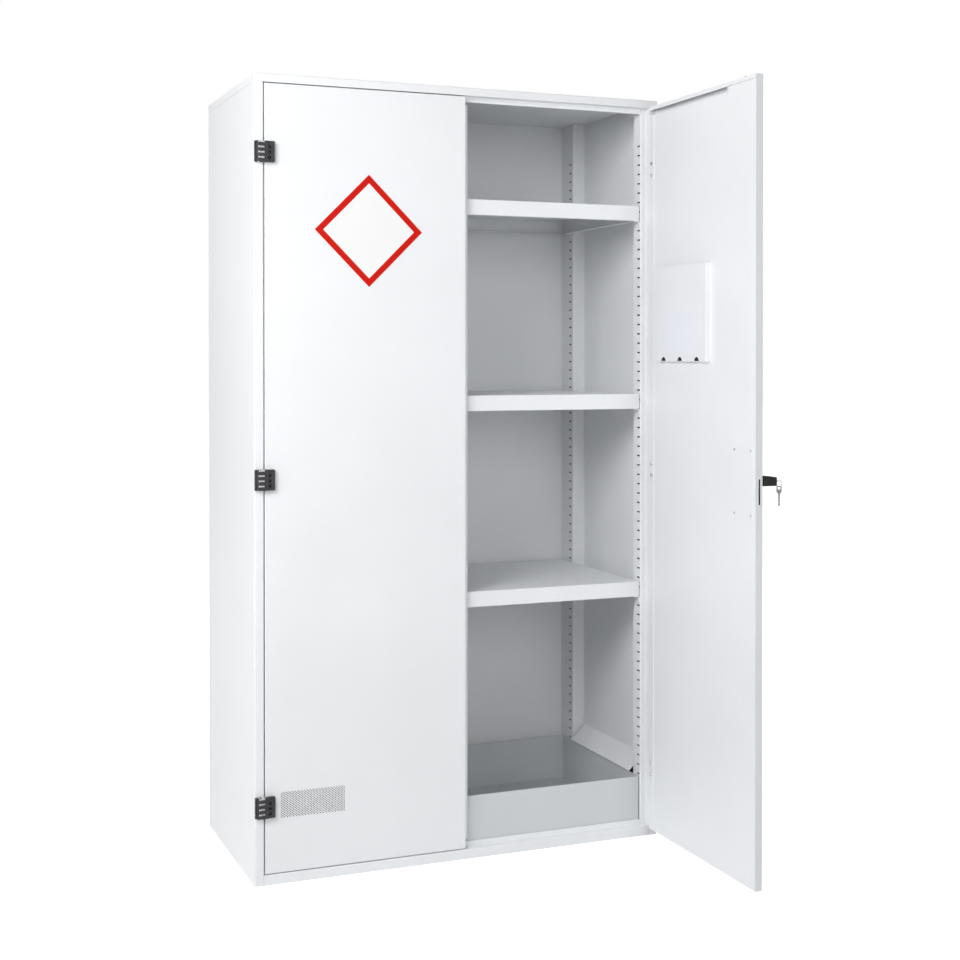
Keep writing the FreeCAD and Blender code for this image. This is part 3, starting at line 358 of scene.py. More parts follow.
class CabinetStudio(bpy.types.PropertyGroup):
    """Camera, lamps and backdrop."""

    camera_place: FloatVectorProperty(
        name="Camera Place", description="Where the camera stands",
        subtype="TRANSLATION", unit="LENGTH", size=3, default=(-1.4016, -3.8221, 1.2693))
    camera_turn: FloatVectorProperty(
        name="Camera Turn", description="How the camera is turned", subtype="EULER",
        unit="ROTATION", size=3,
        default=(math.radians(89.559), 0, math.radians(-21.996)))
    camera_lens: FloatProperty(
        name="Camera Lens", description="Focal length in millimetres",
        default=56.88, min=10, max=200)
    camera_shift: FloatProperty(
        name="Camera Shift", description="Upward shift of the picture, as a share of its width",
        default=-0.1154, min=-1, max=1)
    key_power: FloatProperty(
        name="Key Power", description="Power of the high lamp near the left door", unit="POWER",
        default=51, min=0, max=5000)
    key_size: FloatProperty(
        name="Key Size", description="Side of the high lamp near the left door", unit="LENGTH",
        default=1.2, min=0.2, max=6)
    front_power: FloatProperty(
        name="Front Power", description="Power of the lamp in front of the cabinet",
        unit="POWER", default=41, min=0, max=5000)
    side_power: FloatProperty(
        name="Side Power", description="Power of the lamp at the left of the cabinet",
        unit="POWER", default=38, min=0, max=5000)
    back_power: FloatProperty(
        name="Back Power", description="Power of the lamp behind the cabinet", unit="POWER",
        default=87, min=0, max=5000)
    key_place: FloatVectorProperty(
        name="Key Place", description="Where the high lamp near the left door hangs",
        subtype="TRANSLATION", unit="LENGTH", size=3, default=(-2.0, -2.0, 2.3))
    front_place: FloatVectorProperty(
        name="Front Place", description="Where the lamp in front of the cabinet hangs",
        subtype="TRANSLATION", unit="LENGTH", size=3, default=(0, -5.0, 2.0))
    side_place: FloatVectorProperty(
        name="Side Place", description="Where the lamp at the left of the cabinet hangs",
        subtype="TRANSLATION", unit="LENGTH", size=3, default=(-4.0, -1.0, 1.5))
    back_place: FloatVectorProperty(
        name="Back Place", description="Where the lamp behind the cabinet hangs",
        subtype="TRANSLATION", unit="LENGTH", size=3, default=(3.4, 3.4, 2.4))
    lamp_target: FloatVectorProperty(
        name="Lamp Target", description="The point that all lamps look at",
        subtype="TRANSLATION", unit="LENGTH", size=3, default=(0, -0.2, 0.95))
    wide_size: FloatProperty(
        name="Wide Size", description="Side of the front, side and back lamps", unit="LENGTH",
        default=2.0, min=0.2, max=6)
    sky: FloatVectorProperty(
        name="Sky", description="Light that comes from all around", subtype="COLOR",
        size=3, min=0, max=1, default=(0.20, 0.20, 0.20))
    floor_colour: FloatVectorProperty(
        name="Floor", description="Colour of the pale floor", subtype="COLOR",
        size=3, min=0, max=1, default=(0.82, 0.82, 0.82))
    floor_roughness: FloatProperty(
        name="Floor Roughness", description="How matt the floor is", default=0.9, min=0, max=1)
    floor_shine: FloatProperty(
        name="Floor Shine", description="How strongly the floor mirrors light",
        default=0.1, min=0, max=1)
    floor_size: FloatProperty(
        name="Floor Size", description="Side of the floor", unit="LENGTH",
        default=60, min=5, max=200)
    floor_glow: FloatProperty(
        name="Floor Glow", description="How much whiter the floor looks than it is lit",
        default=0.78, min=0, max=1)
    floor_fade: FloatVectorProperty(
        name="Floor Fade", description="Where the floor starts and ends to turn into pure white",
        unit="LENGTH", size=2, default=(1.2, 3.0), min=0)


def feed(tree, socket, value):
    """Give a socket a value, or link it to another socket."""
    if isinstance(value, bpy.types.NodeSocket):
        tree.links.new(value, socket)
    elif socket.type == "RGBA":
        socket.default_value = (*value, 1) if len(value) == 3 else value
    else:
        socket.default_value = value


def calculate(tree, operation, first, second=0.0):
    """One sum on numbers."""
    node = tree.nodes.new("ShaderNodeMath")
    node.operation = operation
    feed(tree, node.inputs[0], first)
    feed(tree, node.inputs[1], second)
    return node.outputs[0]


def spread(tree, value, source, target):
    """A number carried from one range to another, without going past its ends."""
    node = tree.nodes.new("ShaderNodeMapRange")
    feed(tree, node.inputs["Value"], value)
    feed(tree, node.inputs["From Min"], source[0])
    feed(tree, node.inputs["From Max"], source[1])
    feed(tree, node.inputs["To Min"], target[0])
    feed(tree, node.inputs["To Max"], target[1])
    return node.outputs["Result"]


def mixed(tree, factor, first, second, kind="MIX"):
    """Two colours laid over each other."""
    node = tree.nodes.new("ShaderNodeMix")
    node.data_type = "RGBA"
    node.blend_type = kind
    feed(tree, node.inputs[MIX_FACTOR], factor)
    feed(tree, node.inputs[MIX_FIRST], first)
    feed(tree, node.inputs[MIX_SECOND], second)
    return node.outputs[MIX_RESULT]


def blended(tree, layers):
    """Two patterns added together, each with its own weight."""
    first, second = [calculate(tree, "MULTIPLY", layer, weight) for layer, weight in layers]
    return calculate(tree, "ADD", first, second)


def own_place(tree):
    """The place of a point in the piece's own coordinates."""
    return tree.nodes.new("ShaderNodeTexCoord").outputs["Object"]


def noise(tree, place, grain, detail=2.0, roughness=0.5):
    """Soft noise whose lumps are about as far apart as grain says."""
    node = tree.nodes.new("ShaderNodeTexNoise")
    feed(tree, node.inputs["Vector"], place)
    feed(tree, node.inputs["Scale"], calculate(tree, "DIVIDE", 1.0, grain))
    feed(tree, node.inputs["Detail"], detail)
    feed(tree, node.inputs["Roughness"], roughness)
    return node.outputs["Fac"]


def stretched(tree, place, scale):
    """Coordinates squeezed or pulled along the three axes."""
    node = tree.nodes.new("ShaderNodeMapping")
    feed(tree, node.inputs["Vector"], place)
    node.inputs["Scale"].default_value = scale
    return node.outputs["Vector"]


def new_group(name, inputs, outputs):
    """An empty group of nodes with its named sockets."""
    tree = bpy.data.node_groups.new(name, "ShaderNodeTree")
    for socket, kind in inputs:
        tree.interface.new_socket(socket, in_out="INPUT", socket_type="NodeSocket" + kind)
    for socket, kind in outputs:
        tree.interface.new_socket(socket, in_out="OUTPUT", socket_type="NodeSocket" + kind)
    return tree, tree.nodes.new("NodeGroupInput").outputs, tree.nodes.new("NodeGroupOutput").inputs


def powder_coat_group():
    """Fine waves, slow changes of tone and uneven gloss of baked powder coat."""
    tree, given, made = new_group(
        "Powder Coat",
        (("Coat", "Color"), ("Peel Size", "Float"), ("Tone Reach", "Float")),
        (("Colour", "Color"), ("Roughness", "Float"), ("Height", "Float")))
    tone_range = (0.965, 1.0)
    roughness_range = (0.34, 0.48)
    swell_scale = 9.0
    place = own_place(tree)
    broad = noise(tree, place, given["Tone Reach"], detail=3.0)
    tone = spread(tree, broad, NARROW_BAND, tone_range)
    tree.links.new(mixed(tree, 1.0, given["Coat"], tone, "MULTIPLY"), made["Colour"])
    swell_size = calculate(tree, "MULTIPLY", given["Peel Size"], swell_scale)
    swell = noise(tree, place, swell_size, detail=3.0)
    gloss = blended(tree, ((broad, 0.5), (swell, 0.5)))
    tree.links.new(spread(tree, gloss, NARROW_BAND, roughness_range), made["Roughness"])
    fine = noise(tree, place, given["Peel Size"], detail=1.5)
    tree.links.new(blended(tree, ((fine, 0.7), (swell, 0.6))), made["Height"])
    return tree


def edge_wear_and_highlight_group():
    """Wear and painted edge highlights along the eased edges, broken up by noise: paler edges on
    plastic and plated metal are partly painted highlight, and the darker edges of the coat are
    thinner coat.
    """
    tree, given, made = new_group(
        "Edge Wear",
        (("Surface", "Color"), ("Worn", "Color"), ("Amount", "Float"), ("Patch Size", "Float")),
        (("Colour", "Color"), ("Mask", "Float")))
    layer = tree.nodes.new("ShaderNodeAttribute")
    layer.attribute_name = EDGE_LAYER
    patch_band = (0.42, 0.62)
    patches = spread(tree, noise(tree, own_place(tree), given["Patch Size"], detail=4.0),
                     patch_band, (0, 1))
    mask = calculate(tree, "MULTIPLY", calculate(tree, "MULTIPLY", layer.outputs["Fac"], patches),
                     given["Amount"])
    tree.links.new(mask, made["Mask"])
    tree.links.new(mixed(tree, mask, given["Surface"], given["Worn"]), made["Colour"])
    return tree


def moulded_grain_group():
    """The fine spark-eroded grain of moulded plastic, rubbed smoother in places."""
    tree, given, made = new_group(
        "Moulded Grain",
        (("Plastic", "Color"), ("Grain Size", "Float")),
        (("Colour", "Color"), ("Roughness", "Float"), ("Height", "Float")))
    tone_range = (0.86, 1.08)
    roughness_range = (0.60, 0.44)
    rubbed_scale = 22.0
    place = own_place(tree)
    grain = noise(tree, place, given["Grain Size"], detail=3.0, roughness=0.6)
    rubbed_size = calculate(tree, "MULTIPLY", given["Grain Size"], rubbed_scale)
    rubbed = noise(tree, place, rubbed_size, detail=3.0)
    tone = spread(tree, rubbed, NARROW_BAND, tone_range)
    tree.links.new(mixed(tree, 1.0, given["Plastic"], tone, "MULTIPLY"), made["Colour"])
    tree.links.new(spread(tree, rubbed, WIDE_BAND, roughness_range), made["Roughness"])
    tree.links.new(grain, made["Height"])
    return tree


def plated_metal_group():
    """Plated metal with faint rolling streaks, spots and handling marks."""
    tree, given, made = new_group(
        "Plated Metal",
        (("Metal", "Color"), ("Streak Size", "Float")),
        (("Colour", "Color"), ("Roughness", "Float"), ("Height", "Float")))
    streak_squeeze = (6.0, 6.0, 0.5)
    tone_range = (0.82, 1.06)
    roughness_range = (0.20, 0.38)
    spot_scale = 7.0
    place = own_place(tree)
    streaks = noise(tree, stretched(tree, place, streak_squeeze), given["Streak Size"], detail=3.0)
    spot_size = calculate(tree, "MULTIPLY", given["Streak Size"], spot_scale)
    spots = noise(tree, place, spot_size, detail=4.0)
    tone = spread(tree, spots, NARROW_BAND, tone_range)
    tree.links.new(mixed(tree, 1.0, given["Metal"], tone, "MULTIPLY"), made["Colour"])
    gloss = blended(tree, ((streaks, 0.4), (spots, 0.6)))
    tree.links.new(spread(tree, gloss, NARROW_BAND, roughness_range), made["Roughness"])
    tree.links.new(streaks, made["Height"])
    return tree


GROUP_MAKERS = {
    "Powder Coat": powder_coat_group,
    "Edge Wear": edge_wear_and_highlight_group,
    "Moulded Grain": moulded_grain_group,
    "Plated Metal": plated_metal_group,
}


def placed_group(tree, name, values):
    """A shared group set into a material, with its own values."""
    node = tree.nodes.new("ShaderNodeGroup")
    node.node_tree = bpy.data.node_groups.get(name) or GROUP_MAKERS[name]()
    for socket, value in values.items():
        feed(tree, node.inputs[socket], value)
    return node.outputs


def new_material(name):
    """A material with nothing but its Principled BSDF."""
    material = bpy.data.materials.new(name)
    material.use_nodes = True
    tree = material.node_tree
    shader = next(node for node in tree.nodes if node.type == "BSDF_PRINCIPLED")
    return material, tree, shader


def raise_surface(tree, shader, height, depth):
    """Turn a height into a bump of a real depth."""
    bump = tree.nodes.new("ShaderNodeBump")
    bump.inputs["Strength"].default_value = 1.0
    bump.inputs["Distance"].default_value = depth
    tree.links.new(height, bump.inputs["Height"])
    tree.links.new(bump.outputs["Normal"], shader.inputs["Normal"])


def coated_steel(name, colour, finish):
    """Powder coated sheet, a little thinner and darker along its edges."""
    edge_tint_share = 0.80
    material, tree, shader = new_material(name)
    coat = placed_group(tree, "Powder Coat", {
        "Coat": colour, "Peel Size": finish.peel_size, "Tone Reach": finish.tone_reach})
    edge_tint = tuple(channel * edge_tint_share for channel in colour)
    edge = placed_group(tree, "Edge Wear", {
        "Surface": coat["Colour"], "Worn": edge_tint, "Amount": 0.6, "Patch Size": finish.coat_patch})
    tree.links.new(edge["Colour"], shader.inputs["Base Color"])
    tree.links.new(coat["Roughness"], shader.inputs["Roughness"])
    raise_surface(tree, shader, coat["Height"], finish.peel_depth)
    shader.inputs["Specular IOR Level"].default_value = finish.coat_shine
    return material


def moulded_plastic(name, colour, finish):
    """Moulded plastic with a fine grain and slightly paler edges: partly rubbed wear, partly a
    painted edge highlight.
    """
    edge_tint_share = 1.6
    worn_haze = 0.02
    material, tree, shader = new_material(name)
    grain = placed_group(tree, "Moulded Grain", {
        "Plastic": colour, "Grain Size": finish.grain_size})
    # Paler edges: partly rubbed wear, partly painted highlight.
    edge_tint = tuple(min(1, channel * edge_tint_share + worn_haze) for channel in colour)
    edge = placed_group(tree, "Edge Wear", {
        "Surface": grain["Colour"], "Worn": edge_tint, "Amount": 0.7, "Patch Size": finish.plastic_patch})
    tree.links.new(edge["Colour"], shader.inputs["Base Color"])
    tree.links.new(grain["Roughness"], shader.inputs["Roughness"])
    raise_surface(tree, shader, grain["Height"], finish.grain_depth)
    shader.inputs["Specular IOR Level"].default_value = finish.plastic_shine
    return material


def plated_steel(name, colour, streak_size, finish):
    """Plated metal, brighter along its edges: partly rubbed wear, partly a painted edge highlight."""
    edge_tint_share = 1.25
    depth_share = 1 / 60
    material, tree, shader = new_material(name)
    plate = placed_group(tree, "Plated Metal", {"Metal": colour, "Streak Size": streak_size})
    # Brighter edges: partly rubbed wear, partly painted highlight.
    edge_tint = tuple(min(1, channel * edge_tint_share) for channel in colour)
    edge = placed_group(tree, "Edge Wear", {
        "Surface": plate["Colour"], "Worn": edge_tint, "Amount": 0.8, "Patch Size": finish.plate_patch})
    tree.links.new(edge["Colour"], shader.inputs["Base Color"])
    tree.links.new(plate["Roughness"], shader.inputs["Roughness"])
    shader.inputs["Metallic"].default_value = 1.0
    raise_surface(tree, shader, plate["Height"], streak_size * depth_share)
    return material


def shade_foam_rubber(name, finish):
    """Open foam with fine pores, black as painted shade: it stands in for the shade inside the foot
    of the document pocket.
    """
    tone_range = (0.55, 1.3)
    roughness_range = (0.98, 0.80)
    colour = tuple(finish.foam)
    material, tree, shader = new_material(name)
    pores = noise(tree, own_place(tree), finish.pore_size, detail=4.0, roughness=0.7)
    tone = spread(tree, pores, NARROW_BAND, tone_range)
    tree.links.new(mixed(tree, 1.0, colour, tone, "MULTIPLY"), shader.inputs["Base Color"])
    tree.links.new(spread(tree, pores, WIDE_BAND, roughness_range), shader.inputs["Roughness"])
    raise_surface(tree, shader, pores, finish.pore_depth)
    return material


def label_paper(name, finish):
    """Smooth paper with a faint cloudiness."""
    tone_range = (0.97, 1.0)
    roughness_range = (0.50, 0.62)
    colour = tuple(finish.paper)
    material, tree, shader = new_material(name)
    cloud = noise(tree, own_place(tree), finish.cloud_size, detail=5.0, roughness=0.65)
    tone = spread(tree, cloud, NARROW_BAND, tone_range)
    tree.links.new(mixed(tree, 1.0, colour, tone, "MULTIPLY"), shader.inputs["Base Color"])
    tree.links.new(spread(tree, cloud, WIDE_BAND, roughness_range), shader.inputs["Roughness"])
    raise_surface(tree, shader, cloud, finish.cloud_depth)
    return material


def sign_print(name, finish, sizes):
    """The plain red border round the white field of the diamond plate."""
    border_tones = (0.93, 1.0)
    field_tones = (0.985, 1.0)
    roughness_range = (0.30, 0.38)
    ink_height_share = 0.2
    material, tree, shader = new_material(name)
    low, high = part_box("sign_plate")
    middle = (low + high) / 2
    centred = tree.nodes.new("ShaderNodeVectorMath")
    centred.operation = "SUBTRACT"
    tree.links.new(own_place(tree), centred.inputs[0])
    centred.inputs[1].default_value = middle
    turned = tree.nodes.new("ShaderNodeVectorRotate")
    turned.rotation_type = "Y_AXIS"
    tree.links.new(centred.outputs[0], turned.inputs["Vector"])
    turned.inputs["Angle"].default_value = math.pi / 4
    parted = tree.nodes.new("ShaderNodeSeparateXYZ")
    tree.links.new(turned.outputs[0], parted.inputs[0])
    across = calculate(tree, "ABSOLUTE", parted.outputs["X"])
    upward = calculate(tree, "ABSOLUTE", parted.outputs["Z"])
    reach = calculate(tree, "MAXIMUM", across, upward)
    rim = sign_half_side(sizes.sign_corner) - sizes.sign_border_width
    border = spread(tree, reach, (rim - finish.ink_blur, rim + finish.ink_blur), (0, 1))
    ink = noise(tree, own_place(tree), finish.ink_size, detail=3.0)
    border_tone = spread(tree, ink, WIDE_BAND, border_tones)
    red = mixed(tree, 1.0, finish.sign_border, border_tone, "MULTIPLY")
    field_tone = spread(tree, ink, WIDE_BAND, field_tones)
    field = mixed(tree, 1.0, finish.sign_field, field_tone, "MULTIPLY")
    tree.links.new(mixed(tree, border, field, red), shader.inputs["Base Color"])
    tree.links.new(spread(tree, ink, WIDE_BAND, roughness_range), shader.inputs["Roughness"])
    shader.inputs["Specular IOR Level"].default_value = finish.sign_shine
    grain = calculate(tree, "MULTIPLY", ink, ink_height_share)
    raise_surface(tree, shader, calculate(tree, "ADD", border, grain), finish.ink_depth)
    return material


def sign_half_side(corner):
    """Half the side of the diamond plate, from its box and the radius of its corners."""
    low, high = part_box("sign_plate")
    rounded_off = 2 * corner * (math.sqrt(2) - 1)
    return (high.x - low.x + rounded_off) / (2 * math.sqrt(2))


def finish_named(name):
    """The material of that name, made on first use."""
    found = bpy.data.materials.get(name)
    if found:
        return found
    finish = bpy.context.scene.cabinet_finish
    sizes = bpy.context.scene.cabinet_sizes
    makers = {
        "white powder coat": lambda: coated_steel(name, tuple(finish.white_coat), finish),
        "grey powder coat": lambda: coated_steel(name, tuple(finish.grey_coat), finish),
        "hinge plastic": lambda: moulded_plastic(name, tuple(finish.hinge_plastic), finish),
        "handle plastic": lambda: moulded_plastic(name, tuple(finish.handle_plastic), finish),
        "sleeve plastic": lambda: moulded_plastic(name, tuple(finish.sleeve_painted_light), finish),
        "dark primer": lambda: coated_steel(name, tuple(finish.dark_primer_and_shade), finish),
        "guide plastic": lambda: moulded_plastic(name, tuple(finish.guide_plastic), finish),
        "zinc plate": lambda: plated_steel(name, tuple(finish.zinc), finish.zinc_streak, finish),
        "nickel plate on brass": lambda: plated_steel(
            name, tuple(finish.nickel), finish.nickel_streak, finish),
        "spring wire": lambda: plated_steel(
            name, tuple(finish.spring_wire), finish.nickel_streak, finish),
        "foam rubber": lambda: shade_foam_rubber(name, finish),
        "label paper": lambda: label_paper(name, finish),
        "sign print": lambda: sign_print(name, finish, sizes),
    }
    return makers[name]()


def coat_node(node, finish):
    """Give a piece of the frame its material."""
    piece = frame["nodes"][node]
    piece.data.materials.clear()
    piece.data.materials.append(finish_named(finish))


def body_of(node):
    """The body that a piece of the frame moves with."""
    return frame["nodes"][node]["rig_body"]


def new_piece(name, shape, finish, body):
    """Turn a finished bmesh into a smooth-shaded piece that moves with a body."""
    mesh = bpy.data.meshes.new(name)
    shape.to_mesh(mesh)
    shape.free()
    mesh.polygons.foreach_set("use_smooth", [True] * len(mesh.polygons))
    mesh.set_sharp_from_angle(angle=SHARP_FROM)
    mesh.materials.append(finish_named(finish))
    piece = bpy.data.objects.new(name, mesh)
    bpy.context.scene.collection.objects.link(piece)
    even = piece.modifiers.new("even shading", "WEIGHTED_NORMAL")
    even.keep_sharp = True
    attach(piece, body)
    return piece


def ease_edges(shape, width):
    """Bevel a shape's sharp edges and mark the new faces for edge wear and painted edge highlights.
    """
    layer = shape.faces.layers.float.get(EDGE_LAYER) or shape.faces.layers.float.new(EDGE_LAYER)
    sharp = [edge for edge in shape.edges if edge.is_manifold and edge.calc_face_angle() > EASED_FROM]
    made = bmesh.ops.bevel(shape, geom=sharp, offset=width, offset_type="OFFSET", segments=2,
                           profile=0.5, affect="EDGES", clamp_overlap=True, material=-1)
    for face in made["faces"]:
        face[layer] = 1.0


def eased_copy(node, finish, width):
    """Stand a copy with eased edges in a frame piece's place."""
    shape = bmesh.new()
    shape.from_mesh(frame["nodes"][node].data)
    bmesh.ops.remove_doubles(shape, verts=shape.verts, dist=SAME_CORNER)
    bmesh.ops.dissolve_limit(shape, angle_limit=FLAT_BELOW, verts=shape.verts, edges=shape.edges)
    ease_edges(shape, width)
    piece = new_piece(node + "_eased", shape, finish, body_of(node))
    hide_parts(node)
    return piece


def turned_ring(shape, profile, centre, axis, start, angle=FULL_TURN, steps=RING_STEPS):
    """Turn a closed profile about an axis and close its ends, if it isn't a full turn.

    The profile is a row of pairs: distance out from the axis and distance along it.
    """
    out = start.normalized()
    spots = [shape.verts.new(centre + out * far + axis * along) for far, along in profile]
    edges = [shape.edges.new((spots[index - 1], spots[index])) for index in range(len(spots))]
    full = angle >= FULL_TURN
    bmesh.ops.spin(shape, geom=spots + edges, cent=centre, axis=axis, angle=angle,
                   steps=steps, use_merge=full, use_duplicate=False)
    if not full:
        ends = [edge for edge in shape.edges if edge.is_boundary]
        bmesh.ops.holes_fill(shape, edges=ends)
    bmesh.ops.remove_doubles(shape, verts=shape.verts, dist=SAME_TURNED_POINT)
    bmesh.ops.recalc_face_normals(shape, faces=shape.faces)


def add_block(shape, middle, size):
    """Add a block to a shape."""
    made = bmesh.ops.create_cube(shape, size=1)
    bmesh.ops.transform(shape, matrix=Matrix.Translation(middle) @ Matrix.Diagonal((*size, 1)),
                        verts=made["verts"])


def collar(inner, outer, low, high, chamfer):
    """The profile of a plain ring with chamfered rims."""
    return [(inner, low), (inner, high), (outer - chamfer, high), (outer, high - chamfer),
            (outer, low + chamfer), (outer - chamfer, low)]


class CABINET_OT_white_panels(bpy.types.Operator):
    """Coat the body, the doors and the shelves in white powder coat"""

    bl_idname = "cabinet.white_panels"
    bl_label = "White Panels"

    def execute(self, context):
        for node in WHITE_NODES:
            coat_node(node, "white powder coat")
        return {"FINISHED"}


class CABINET_OT_folded_sheets(bpy.types.Operator):
    """Ease the edges of the folded sheets that show in the open cabinet"""

    bl_idname = "cabinet.folded_sheets"
    bl_label = "Folded Sheets"

    def execute(self, context):
        width = context.scene.cabinet_sizes.sheet_easing
        for node in ("top_stop_rail", "floor_pan", "drip_deflector_left", "drip_deflector_right",
                     "left_door_inner_panel", "left_door_overlap_strip", "right_door_inner_panel",
                     "lock_stile", "lock_cover_plate", "document_pocket"):
            eased_copy(node, "white powder coat", width)
        eased_copy("sump_tray", "grey powder coat", width)
        eased_copy("shelf_clips", "white powder coat", context.scene.cabinet_sizes.small_easing)
        return {"FINISHED"}


class CABINET_OT_hinges(bpy.types.Operator):
    """Mould the hinge leaves and plate their fasteners"""

    bl_idname = "cabinet.hinges"
    bl_label = "Hinges"

    def execute(self, context):
        sizes = context.scene.cabinet_sizes
        for side in SIDES:
            for level in LEVELS:
                for leaf in ("frame", "door"):
                    node = "hinge_%s_leaf_%s_%s" % (leaf, side, level)
                    eased_copy(node, "hinge plastic", sizes.moulding_easing)
        for node in ("hinge_screws", "left_door_hinge_bolts", "right_door_hinge_bolts",
                     "lock_cover_rivets"):
            eased_copy(node, "zinc plate", sizes.small_easing)
        return {"FINISHED"}


class CABINET_OT_hinge_sleeves(bpy.types.Operator):
    """Slip pale sleeves over the knuckles of the frame leaves, as painted light: their pale colour
    stands in for the lit bars between the hinges' dark knuckles
    """

    bl_idname = "cabinet.hinge_sleeves"
    bl_label = "Hinge Sleeves"

    def execute(self, context):
        sizes = context.scene.cabinet_sizes
        for side, way in (("left", 1), ("right", -1)):
            low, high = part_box("hinge_pins_" + side)
            pin = (low + high) / 2
            start = Vector((-way * math.sin(sizes.sleeve_start), -math.cos(sizes.sleeve_start), 0))
            shape = bmesh.new()
            for level in LEVELS:
                low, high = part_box("hinge_frame_leaf_%s_%s" % (side, level))
                radius = pin.y - low.y
                pitch = (high.z - low.z) / sizes.knuckle_pairs
                height = pitch * sizes.knuckle_share - sizes.sleeve_play
                profile = collar(radius + sizes.sleeve_proud - sizes.sleeve_wall,
                                 radius + sizes.sleeve_proud, -height / 2, height / 2,
                                 sizes.sleeve_proud / 2)
                cheek = Vector((sizes.sleeve_reach, sizes.cheek_depth, height))
                for pair in range(sizes.knuckle_pairs):
                    middle = high.z - (sizes.sleeve_play + height) / 2 - pair * pitch
                    centre = Vector((pin.x, pin.y, middle))
                    turned_ring(shape, profile, centre, Vector((0, 0, way)), start,
                                sizes.sleeve_turn, SLEEVE_STEPS)
                    add_block(shape, centre + Vector((way * cheek.x / 2, 0, 0)), cheek)
            # The pale sleeves are painted light on the hinges' knuckles.
            new_piece("hinge_sleeves_" + side, shape, "sleeve plastic", "cabinet")
        return {"FINISHED"}


def rod_tip(rod, way, reach):
    """The middle and the radius of a lock rod's outer end."""
    points = [vertex.co for vertex in frame["nodes"][rod].data.vertices]
    end = max(way * point.z for point in points)
    tip = [point for point in points if way * point.z > end - reach]
    low = Vector((min(point.x for point in tip), min(point.y for point in tip)))
    high = Vector((max(point.x for point in tip), max(point.y for point in tip)))
    return (low + high) / 2, (high.x - low.x) / 2


class CABINET_OT_rod_bushes(bpy.types.Operator):
    """Press the bushes for the lock rods into the right door's ends"""

    bl_idname = "cabinet.rod_bushes"
    bl_label = "Rod Bushes"

    def execute(self, context):
        sizes = context.scene.cabinet_sizes
        door_low, door_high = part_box("right_door_panel")
        shape = bmesh.new()
        for rod, foot, way in (("lock_rod_top", door_high.z, 1), ("lock_rod_bottom", door_low.z, -1)):
            middle, radius = rod_tip(rod, way, sizes.bush_proud)
            profile = collar(radius + sizes.bush_play, sizes.bush_radius, 0, sizes.bush_proud,
                             sizes.bush_proud / 4)
            turned_ring(shape, profile, Vector((middle.x, middle.y, foot)), Vector((0, 0, way)),
                        Vector((1, 0, 0)))
        new_piece("rod_bushes", shape, "handle plastic", "right_door")
        return {"FINISHED"}


class CABINET_OT_post_liners(bpy.types.Operator):
    """Stand the dark strips inside the slotted posts, as painted shade: they darken the slots where
    the hollow posts are in shade
    """

    bl_idname = "cabinet.post_liners"
    bl_label = "Post Liners"

    def execute(self, context):
        sizes = context.scene.cabinet_sizes
        shape = bmesh.new()
        for post in ("front_upright_left", "front_upright_right", "rear_upright_left",
                     "rear_upright_right"):
            low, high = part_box(post)
            size = Vector((sizes.liner_thickness, high.y - low.y - 2 * sizes.liner_gap,
                           high.z - low.z - 2 * sizes.liner_gap))
            middle = (low + high) / 2
            if middle.x < 0:
                middle.x = high.x - sizes.liner_depth
            else:
                middle.x = low.x + sizes.liner_depth
            add_block(shape, middle, size)
        ease_edges(shape, sizes.small_easing)
        # The dark strips are painted shade behind the slots.
        new_piece("post_liners", shape, "dark primer", "cabinet")
        return {"FINISHED"}


class CABINET_OT_vent_gauze(bpy.types.Operator):
    """Lay the dark gauze behind the vent in the left door"""

    bl_idname = "cabinet.vent_gauze"
    bl_label = "Vent Gauze"

    def execute(self, context):
        sizes = context.scene.cabinet_sizes
        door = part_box("left_door_panel")[0]
        size = Vector((sizes.gauze_size[0], sizes.gauze_thickness, sizes.gauze_size[1]))
        corner = door + Vector((sizes.gauze_place[0], sizes.gauze_depth, sizes.gauze_place[1]))
        shape = bmesh.new()
        add_block(shape, corner + size / 2, size)
        new_piece("vent_gauze", shape, "dark primer", "left_door")
        return {"FINISHED"}


class CABINET_OT_lock_works(bpy.types.Operator):
    """Plate the lock's works inside the right door"""

    bl_idname = "cabinet.lock_works"
    bl_label = "Lock Works"

    def execute(self, context):
        for node in STEEL_NODES:
            coat_node(node, "zinc plate")
        coat_node("lock_rod_guides", "guide plastic")
        return {"FINISHED"}


class CABINET_OT_handle(bpy.types.Operator):
    """Finish the lever, its round plate, the lock barrel and the ring round it"""

    bl_idname = "cabinet.handle"
    bl_label = "Handle"

    def execute(self, context):
        sizes = context.scene.cabinet_sizes
        eased_copy("handle_grip", "handle plastic", sizes.moulding_easing)
        eased_copy("handle_escutcheon", "handle plastic", sizes.small_easing)
        eased_copy("lock_cylinder", "nickel plate on brass", sizes.small_easing)
        low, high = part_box("lock_cylinder")
        middle = (low + high) / 2
        inner = (high.z - low.z) / 2 + sizes.small_easing / 2
        bezel_ease_share = 0.3
        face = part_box("handle_grip")[1].x
        outer = sizes.bezel_radius
        top = sizes.bezel_height
        ease = top * bezel_ease_share
        profile = [(inner, 0), (inner, top - ease), (inner + ease, top), (outer - top, top),
                   (outer - ease, top - ease), (outer, 0)]
        shape = bmesh.new()
        turned_ring(shape, profile, Vector((face, middle.y, middle.z)), Vector((1, 0, 0)),
                    Vector((0, 0, 1)))
        new_piece("barrel_bezel", shape, "nickel plate on brass", "handle")
        return {"FINISHED"}


